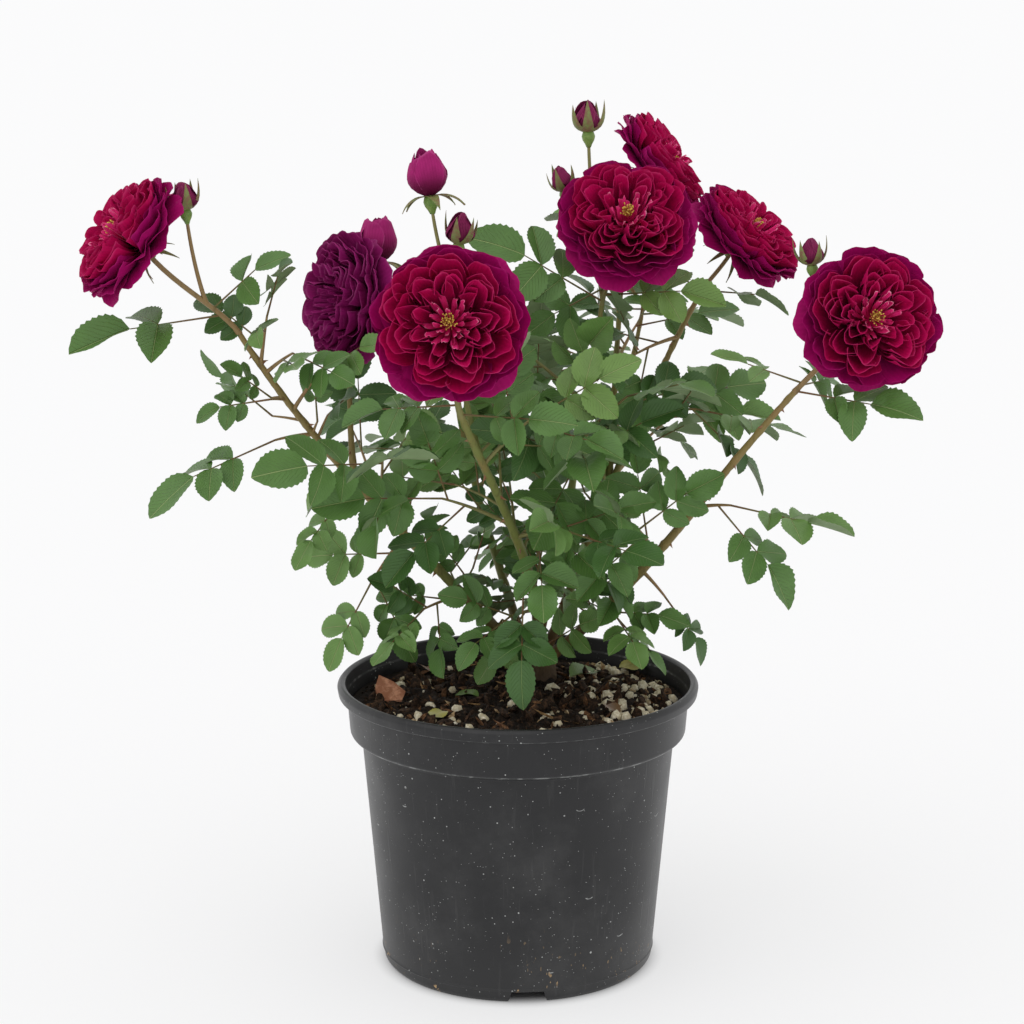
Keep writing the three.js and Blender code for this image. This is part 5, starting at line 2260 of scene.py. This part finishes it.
# ---------------------------------------------------------------- foliage
def leaflet_template(fold: float, droop: float, wave: float, teeth: int = 10) -> bpy.types.Mesh:
    """One leaflet, a unit long and a unit wide, with a toothed margin.

    Args:
        fold: how far its edges lift from its rib.
        droop: how far its tip bends down.
        wave: how far its margin waves.
        teeth: how many teeth each side has.

    Returns:
        A thin closed mesh whose lower faces are marked under.
    """
    def half_width(v: float) -> float:
        """Half the blade's width at a share of its length."""
        return 0.5 * (v / 0.47) ** 0.66 * ((1 - v) / 0.53) ** 0.744

    def lifted(x: float, y: float) -> Triple:
        """A point of the blade with its fold, droop and wave."""
        z = fold * abs(x) - droop * y * y + wave * abs(x) * math.sin(6.5 * y + (1.4 if x > 0 else 0))
        return (x, y, z)

    points = [lifted(0, i / teeth) for i in range(teeth + 1)]
    faces = []
    for side in (1, -1):
        start = len(points)
        for i in range(teeth):
            here, after = i / teeth, (i + 1) / teeth
            tooth = here * 0.3 + after * 0.7
            points.append(lifted(side * (half_width(tooth) * 1.03 + 0.006), tooth))
            if i < teeth - 1:
                points.append(lifted(side * half_width(after + 0.006) * 0.955, after + 0.006))
        valleys = [0, *(start + 1 + 2 * i for i in range(teeth - 1)), teeth]
        for i in range(teeth):
            tip, a, b = start + 2 * i, valleys[i], valleys[i + 1]
            for face in ((i, a, tip), (i, tip, i + 1), (i + 1, tip, b)):
                if len(set(face)) == 3:
                    faces.append(face[::side])
    lower = len(points)
    points += [(x, y, z - 0.011) for x, y, z in points[1:teeth]]
    upper = len(faces)
    faces += [[lower + k - 1 if 0 < k < teeth else k for k in face][::-1] for face in faces]
    mesh = bpy.data.meshes.new("leaflet")
    mesh.from_pydata(points, [], faces)
    layer = mesh.uv_layers.new(name="UVMap")
    for loop in mesh.loops:
        x, y, _ = points[loop.vertex_index]
        layer.uv[loop.index].vector = (x + 0.5, y)
    under = [i >= upper for i in range(len(faces))]
    mesh.attributes.new("under", "BOOLEAN", "FACE").data.foreach_set("value", under)
    return mesh


def leaflet_templates() -> list[bpy.types.Mesh]:
    """The leaflets that the foliage is made of."""
    return [leaflet_template(*form) for form in
            ((0.2, 0.1, 0.06), (0.36, 0.18, 0.1), (0.1, 0.06, 0.14), (0.26, 0.28, 0.05), (0.46, 0.08, 0.08))]


class LeafTint(Enum):
    """The greens of the foliage, each with how common it is on old and on young leaves."""

    DARK = (LeafSkin("leaf_dark", (64, 102, 44), (128, 154, 94)), 0.26, 0.08)
    MIDDLE = (LeafSkin("leaf_middle", (86, 125, 58), (150, 172, 110)), 0.42, 0.38)
    FRESH = (LeafSkin("leaf_fresh", (104, 142, 70), (166, 184, 122)), 0.29, 0.48)
    YOUNG = (LeafSkin("leaf_young", (110, 144, 70), (164, 184, 120)), 0.03, 0.06)

    @classmethod
    def pick(cls, young: bool, chance: Chance) -> int:
        """Picks a tint for a leaf.

        Args:
            young: whether the leaf is young.
            chance: what picks it.

        Returns:
            Its place among the tints.
        """
        left = chance()
        for place, tint_of in enumerate(cls):
            left -= tint_of.value[2 if young else 1]
            if left < 0:
                return place
        return list(cls).index(cls.MIDDLE)


@dataclass
class Foliage:
    """All the leaflets, set out on the leaves' stalks."""

    plant: Plant
    parts: int = 2
    trim: float = 0.94
    under: LeafSkin = LeafSkin("leaf_under", (124, 146, 102), (158, 174, 128), 0.6, 0.3)

    def build(self) -> None:
        """Makes the leaflets, in parts from left to right."""
        uppers = [t.value[0].dress() for t in LeafTint]
        below = self.under.dress()
        templates = leaflet_templates()
        chance = Chance(TINT_SEED)
        ordered = sorted(self.plant.leaves, key=lambda leaf: float(leaf.stalk.points[0][0]))
        share = math.ceil(len(ordered) / self.parts)
        nodes = [f"shoot_{name}" for name in SHOOTS]
        for part in range(self.parts):
            setting = Setting()
            for leaf in ordered[part * share:(part + 1) * share]:
                colour = LeafTint.pick(leaf.young, chance)
                for leaflet in leaf.leaflets:
                    across = np.cross(leaflet.along, leaflet.normal)
                    size = vec((leaflet.width, leaflet.length, leaflet.length)) * self.trim
                    setting.add(leaflet.base, (across, leaflet.along, leaflet.normal), size,
                                int(chance() * len(templates)), colour)
            name = f"leaflets_{part + 1}"
            mesh = setting.grow(name, templates, [(upper, below) for upper in uppers])
            enter(finished(mesh, name, 55), "foliage", nodes)


# ---------------------------------------------------------------- blooms and buds
@dataclass(frozen=True)
class PetalForm:
    """A ring of petals, in shares of the flower's size.

    Its petals stand side by side, or one inside another in the nests of a quartered bloom.
    """

    count: int
    foot: tuple[float, float]
    bulge: tuple[float, float]
    tip: tuple[float, float]
    width: float
    cup: float
    slot: int
    arms: float = 0.0
    ruffle: float = 0.0
    roll: float = 10.0
    rounding: float = 0.3
    taper: bool = False
    nested: bool = False
    cells: tuple[int, int] = (7, 8)
    step: float = 0.0
    vary: float = 0.07
    curl: float = 0.014
    thickness: float = 0.2


# The places of the finishes among a flower's materials.
OUTER, MIDDLE, HEART, AGED, BUD, SEPAL, HIP, OPENING = range(8)
NEST_COUNT = 9
HIP_PROFILE = np.array([(0, -0.15), (0.07, -0.14), (0.11, -0.04), (0.18, 0.08), (0.21, 0.2), (0.18, 0.3),
                        (0.14, 0.38), (0, 0.39)])
STAMEN_PROFILE = np.array([(0, 0), (0.025, 0), (0.02, 0.8), (0.06, 0.84), (0.07, 0.92), (0.04, 1), (0, 1.02)])
NESTS = tuple(
    PetalForm(NEST_COUNT, (0.03, foot), bulge, tip, width, cup, slot, arms, ruffle, roll, 0.13, nested=True,
              cells=cells, vary=vary)
    for foot, bulge, tip, width, cup, slot, arms, ruffle, roll, cells, vary in (
        (0.03, (0.39, 0.06), (0.47, 0.2), 0.31, 70, OUTER, 0.09, 0.013, 12, (8, 12), 0.05),
        (0.04, (0.37, 0.07), (0.446, 0.245), 0.28, 78, OUTER, 0.1, 0.013, 14, (7, 12), 0.06),
        (0.05, (0.345, 0.08), (0.415, 0.28), 0.25, 84, MIDDLE, 0.12, 0.013, 15, (7, 12), 0.06),
        (0.07, (0.315, 0.1), (0.38, 0.305), 0.22, 88, MIDDLE, 0.13, 0.012, 17, (7, 11), 0.07),
        (0.08, (0.285, 0.11), (0.34, 0.325), 0.185, 90, MIDDLE, 0.13, 0.012, 20, (6, 11), 0.08),
        (0.09, (0.245, 0.13), (0.295, 0.34), 0.15, 92, MIDDLE, 0.12, 0.011, 24, (6, 10), 0.09),
        (0.1, (0.21, 0.15), (0.25, 0.345), 0.11, 92, MIDDLE, 0.1, 0.01, 30, (6, 9), 0.11),
        (0.11, (0.175, 0.16), (0.205, 0.345), 0.075, 92, MIDDLE, 0.08, 0.009, 36, (5, 8), 0.14),
    )
)
ROSE = (
    PetalForm(8, (0.03, 0.0), (0.28, 0.1), (0.5, 0.04), 0.38, 26, OUTER, 0, 0.018, 12, 0.3, cells=(8, 10)),
    PetalForm(8, (0.03, 0.01), (0.3, 0.08), (0.486, 0.15), 0.38, 36, OUTER, 0, 0.018, 12, 0.26, cells=(8, 10),
              step=0.5),
    *NESTS,
    PetalForm(14, (0.02, 0.12), (0.125, 0.18), (0.14, 0.31), 0.045, 60, HEART, 0.03, 0.006, 50, 0.1,
              cells=(5, 5), step=0.2, vary=0.3),
    PetalForm(11, (0.01, 0.14), (0.08, 0.2), (0.085, 0.3), 0.034, 56, HEART, 0.02, 0.006, 70, 0.1,
              cells=(5, 4), step=0.4, vary=0.3),
)
CLOSED_BUD = (
    PetalForm(3, (0.1, 0.34), (0.82, 0.5), (0.02, 1.2), 0.96, 70, BUD, roll=14, rounding=0.2),
    PetalForm(3, (0.1, 0.34), (0.7, 0.54), (0.02, 1.26), 0.82, 70, BUD, roll=14, rounding=0.2, step=0.5),
)
OPEN_BUD = (
    PetalForm(5, (0.1, 0.34), (0.92, 0.66), (0.3, 1.5), 0.9, 60, OPENING, 0, 0.03, 14, 0.3),
    PetalForm(5, (0.1, 0.34), (0.76, 0.72), (0.22, 1.58), 0.74, 66, OPENING, 0, 0.03, 18, 0.3, step=0.5),
    PetalForm(4, (0.1, 0.34), (0.5, 0.76), (0.14, 1.58), 0.5, 70, OPENING, 0, 0.03, 22, 0.3, step=0.3),
)
SEPALS_CLOSED = (PetalForm(5, (0.13, 0.32), (0.68, 0.46), (0.56, 1.24), 0.46, 46, SEPAL, roll=14, rounding=0,
                           taper=True, cells=(8, 4), vary=0.12),)
SEPALS_OPEN = (PetalForm(5, (0.13, 0.34), (0.62, 0.36), (1.0, 0.0), 0.36, 40, SEPAL, 0, 0.02, 30, 0,
                         taper=True, cells=(8, 4), vary=0.2),)
SEPALS_BACK = (PetalForm(5, (0.14, 0.2), (0.6, 0.0), (0.9, -0.6), 0.24, 26, SEPAL, 0, 0.01, 24, 0,
                         taper=True, cells=(8, 4), vary=0.2),)


@dataclass
class Flowers:
    """The double blooms with their stamens, and the buds with their sepals and hips."""

    plant: Plant
    aged_tops: tuple[str, ...] = ("twin",)
    stamens: int = 54
    stamen_size: float = 0.076
    tuft: float = 0.026
    tuft_height: float = 0.25
    calyx: float = 19
    hip_sides: int = 12
    hip_drop: float = 4.5
    calyx_drop: float = 4
    finishes: tuple[Union[Velvet, Plain], ...] = (
        Velvet("petal_outer", (96, 0, 50), (160, 4, 94), (186, 46, 128)),
        Velvet("petal_middle", (88, 0, 30), (188, 4, 82), (222, 78, 140), 0.36),
        Velvet("petal_heart", (176, 8, 70), (244, 54, 138), (255, 196, 216), 0.6, 0.4),
        Velvet("petal_aged", (70, 4, 50), (148, 26, 104), (184, 92, 148), 0.45),
        Velvet("petal_bud", (66, 14, 36), (128, 34, 80), (156, 80, 108), 0.5, 0.3),
        Plain("sepals", (122, 134, 76), (128, 98, 74), 0.55, 260),
        Plain("hips", (104, 136, 62), (132, 156, 82), 0.45, 200),
        Velvet("petal_opening", (82, 8, 44), (160, 34, 104), (200, 96, 152), 0.45),
    )
    pollen: Plain = Plain("stamens", (226, 196, 92), (184, 150, 60), 0.7, 600)

    def build(self) -> None:
        """Makes the petals, the buds and the stamens."""
        materials = [finish.dress() for finish in self.finishes]
        blooms, buds, setting = (Shape(), Shape()), Shape(), Setting()
        chance = Chance(PETAL_SEED)
        for i, bloom in enumerate(self.plant.blooms):
            aged = bloom.top in self.aged_tops
            self.add_rings(blooms[i % 2], ROSE, bloom.base, bloom.faces, bloom.size, chance, aged)
            self.add_rings(buds, SEPALS_BACK, bloom.base - bloom.faces * self.calyx_drop, bloom.faces,
                           self.calyx, chance)
            foot = bloom.base - bloom.faces * self.hip_drop
            buds.add_lathe(HIP_PROFILE, self.hip_sides, HIP, foot, bloom.faces, self.calyx)
            if not aged:
                self.set_stamens(setting, bloom, chance)
        for bud in self.plant.buds:
            rings = (*OPEN_BUD, *SEPALS_OPEN) if bud.open else (*CLOSED_BUD, *SEPALS_CLOSED)
            self.add_rings(buds, rings, bud.base, bud.faces, bud.size, chance)
            buds.add_lathe(HIP_PROFILE, self.hip_sides, HIP, bud.base, bud.faces, bud.size)
        nodes = [f"top_{name}" for name in TOPS]
        for i, shape in enumerate(blooms, 1):
            enter(shape.build(f"blooms_{i}", materials, 62, marked=True), "flowers", nodes)
        enter(buds.build("buds", materials, 62, marked=True), "flowers", nodes)
        mesh = setting.grow("stamens", [self.stamen_template()], [(self.pollen.dress(), None)])
        enter(finished(mesh, "stamens", 60), "flowers")

    def add_rings(self, shape: Shape, rings: Sequence[PetalForm], base: np.ndarray, axis: np.ndarray,
                  size: float, chance: Chance, aged: bool = False) -> None:
        """Adds rings of petals or sepals round an axis.

        Args:
            shape: the piece that they join.
            rings: their forms.
            base: the foot of the flower.
            axis: the way it faces.
            size: its size.
            chance: what varies them.
            aged: whether its petals have the older colour.
        """
        side = square_to(axis, UP)
        across = np.cross(axis, side)
        first = chance() * 6.28
        nests = [i + chance.between(-0.17, 0.17) for i in range(NEST_COUNT)]
        for form in rings:
            slot = AGED if aged and form.slot != SEPAL else form.slot
            for i in range(form.count):
                if form.nested:
                    turn = first + (nests[i] + chance.between(-0.07, 0.07)) * 2 * math.pi / NEST_COUNT
                else:
                    turn = first + (i + form.step + chance.between(-0.16, 0.16)) * 2 * math.pi / form.count
                out = side * math.cos(turn) + across * math.sin(turn)
                grid = self.petal(form, chance) * size
                place = (base + out * grid[..., :1] + axis * grid[..., 2:]
                         + np.cross(axis, out) * grid[..., 1:2])
                shape.add_sheet(place, form.thickness, slot)

    @staticmethod
    def petal(form: PetalForm, chance: Chance) -> np.ndarray:
        """One petal's upper side.

        Args:
            form: its ring's form.
            chance: what varies it.

        Returns:
            A grid of points: how far out, how far aside and how far up, in shares of the size.
        """
        rows, cols = form.cells
        v = 1 - (1 - np.linspace(0, 1, rows + 1)[:, None]) ** 1.35
        u = np.linspace(-1, 1, cols + 1)[None, :]
        vary = 1 + form.vary
        long, tall = chance.between(2 - vary, vary), chance.between(2 - vary, vary)
        share = v * (1 - form.rounding * np.abs(u) ** 2.4 * chance.between(0.8, 1.2))
        notch = 0.05 if form.rounding > 0.2 else 0.015
        share = share - notch * v * np.exp(-((u - chance.between(-0.3, 0.3)) / 0.3) ** 2)
        a, b, c = form.foot, form.bulge, (form.tip[0] * long, form.tip[1] * tall)
        r = (1 - share) ** 2 * a[0] + 2 * share * (1 - share) * b[0] * long + share ** 2 * c[0]
        h = (1 - share) ** 2 * a[1] + 2 * share * (1 - share) * b[1] + share ** 2 * c[1]
        dr = 2 * (1 - share) * (b[0] * long - a[0]) + 2 * share * (c[0] - b[0] * long)
        dh = 2 * (1 - share) * (b[1] - a[1]) + 2 * share * (c[1] - b[1])
        steep = np.sqrt(dr * dr + dh * dh) + 1e-9
        if form.taper:
            width = form.width * 1.5 * (share + 0.12) ** 0.35 * (1.001 - share) ** 0.9
        else:
            width = form.width * (0.24 + 0.76 * np.sin(np.pi / 2 * np.minimum(1, share * 1.45)))
        if form.arms:
            half = math.radians(form.cup)
            aside = width / 2 * np.sin(half * u) * (1 + 0.25 * chance.between(-1, 1) * u)
            aside = aside + form.arms * chance.between(-0.3, 0.3) * share ** 2
            lift = form.arms * share ** 1.3 * (1 - np.cos(half * u)) * (1 + 0.3 * chance.between(-1, 1) * u)
        else:
            half = math.radians(form.cup * chance.between(0.85, 1.15)) * (0.45 + 0.55 * share)
            radius = width / 2 / half
            aside, lift = radius * np.sin(half * u), radius * (1 - np.cos(half * u))
        wave = np.sin(u * chance.between(3.2, 5.2) + chance() * 6) + 0.6 * np.sin(u * 9 + chance() * 6)
        margin = np.maximum(v, np.abs(u) if form.arms else 0)
        lift = lift + form.ruffle * wave * share ** 3 - form.curl * np.maximum(0, (margin - 0.7) / 0.3) ** 2
        roll = math.radians(chance.between(-form.roll, form.roll)) * share
        aside, lift = aside * np.cos(roll) - lift * np.sin(roll), aside * np.sin(roll) + lift * np.cos(roll)
        return np.stack([r - lift * dh / steep, aside, h + lift * dr / steep], -1)

    def set_stamens(self, setting: Setting, bloom: Bloom, chance: Chance) -> None:
        """Sets a bloom's stamens in a loose round tuft.

        Args:
            setting: what gathers them.
            bloom: the bloom.
            chance: what varies them.
        """
        side = square_to(bloom.faces, UP)
        across = np.cross(bloom.faces, side)
        for i in range(self.stamens):
            radius, turn = math.sqrt((i + 0.5) / self.stamens), i * GOLDEN_TURN
            out = side * math.cos(turn) + across * math.sin(turn)
            way = leaning(bloom.faces, out, 0.5 * radius * chance.between(0.2, 1.5))
            root = (bloom.base + bloom.faces * bloom.size * self.tuft_height
                    + out * radius * bloom.size * self.tuft)
            size = chance.between(0.5, 1.1) * bloom.size * self.stamen_size
            first = square_to(way, side)
            setting.add(root, (first, np.cross(way, first), way), (size, size, size))

    @staticmethod
    def stamen_template() -> bpy.types.Mesh:
        """A stamen one unit long: a thread with its anther.

        Returns:
            The mesh.
        """
        shape = Shape()
        shape.add_lathe(STAMEN_PROFILE / MM, 5)
        return shape.template("stamen")


# ---------------------------------------------------------------- the studio
@dataclass
class Studio:
    """A pale floor, soft light and the camera."""

    camera_place: Triple = (-3.9, -1700, 677.8)
    pitch: float = 12.34
    lens: float = 93.3
    floor_size: float = 60
    floor_colour: Triple = (172, 172, 173)
    glow: float = 0.54
    # Radii within which the floor's glow fades out: a painted shadow round the pot's foot.
    painted_shadow_radii: tuple[float, float] = (78, 100)
    sky: float = 0.92
    key: float = 0.42
    key_turn: Triple = (30, -12, -22)
    key_softness: float = 60

    def build(self) -> None:
        """Sets everything up."""
        scene = bpy.context.scene
        scene.view_settings.view_transform = "Standard"
        data = bpy.data.cameras.new("camera")
        data.lens, data.sensor_width, data.clip_end = self.lens, 36, 100
        camera = shown("camera", data)
        camera.location = vec(self.camera_place) * MM
        camera.rotation_euler = Euler((math.radians(90 - self.pitch), 0, 0))
        scene.camera = camera
        self.floor()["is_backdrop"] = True
        self.light()

    def floor(self) -> bpy.types.Object:
        """Makes the floor, which glows evenly except under and around the pot's foot, where a shadow is
        painted.

        Returns:
            The floor.
        """
        mesh = bpy.data.meshes.new("floor")
        half = self.floor_size / 2
        square = [(-half, -half, 0), (half, -half, 0), (half, half, 0), (-half, half, 0)]
        mesh.from_pydata(square, [], [(0, 1, 2, 3)])
        s = Shader("floor", roughness=0.85, specular_ior_level=0.0, emission_strength=self.glow)
        away = s.add("ShaderNodeVectorMath", {"operation": "LENGTH"}, {0: s.where()}, "Value")
        # Painted shadow: the floor's glow fades to nothing within these radii of the pot's axis.
        glow_past_painted_shadow = s.blend(away.rising(self.painted_shadow_radii[0] * MM, self.painted_shadow_radii[1] * MM), (0, 0, 0), (255, 255, 255))
        mesh.materials.append(s.feed(base_color=tint(*self.floor_colour), emission_color=glow_past_painted_shadow))
        return shown("floor", mesh)

    def light(self) -> None:
        """A white surround and one broad soft key light from above."""
        world = bpy.data.worlds.new("surround")
        world.use_nodes = True
        world.node_tree.nodes["Background"].inputs["Color"].default_value = (1, 1, 1, 1)
        world.node_tree.nodes["Background"].inputs["Strength"].default_value = self.sky
        bpy.context.scene.world = world
        data = bpy.data.lights.new("key", "SUN")
        data.energy, data.angle = self.key, math.radians(self.key_softness)
        shown("key", data).rotation_euler = Euler([math.radians(a) for a in self.key_turn])


# ---------------------------------------------------------------- making it
def corners() -> list[list[float]]:
    """The shown object's lowest and highest corner, as plain lists."""
    bpy.context.view_layer.update()
    return [list(corner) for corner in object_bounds()]


def main() -> None:
    """Builds every piece."""
    logging.basicConfig(level=logging.INFO, format="%(message)s")
    solid_box = corners()
    Studio().build()
    plant = Plant()
    LOG.info("%d leaves from the source's rule", len(plant.leaves))
    for twigs in CROWN_TWIGS:
        LOG.info("%d fine twigs", twigs.grow(plant))
    LOG.info("%d leaves, %d leaflets", len(plant.leaves), sum(len(x.leaflets) for x in plant.leaves))
    pot = Pot()
    pot.build()
    Ground(pot).build()
    Wood(plant).build()
    Foliage(plant).build()
    Flowers(plant).build()
    {"solids": solid_box, "dressed": corners()}


if __name__ == "__main__":
    main()
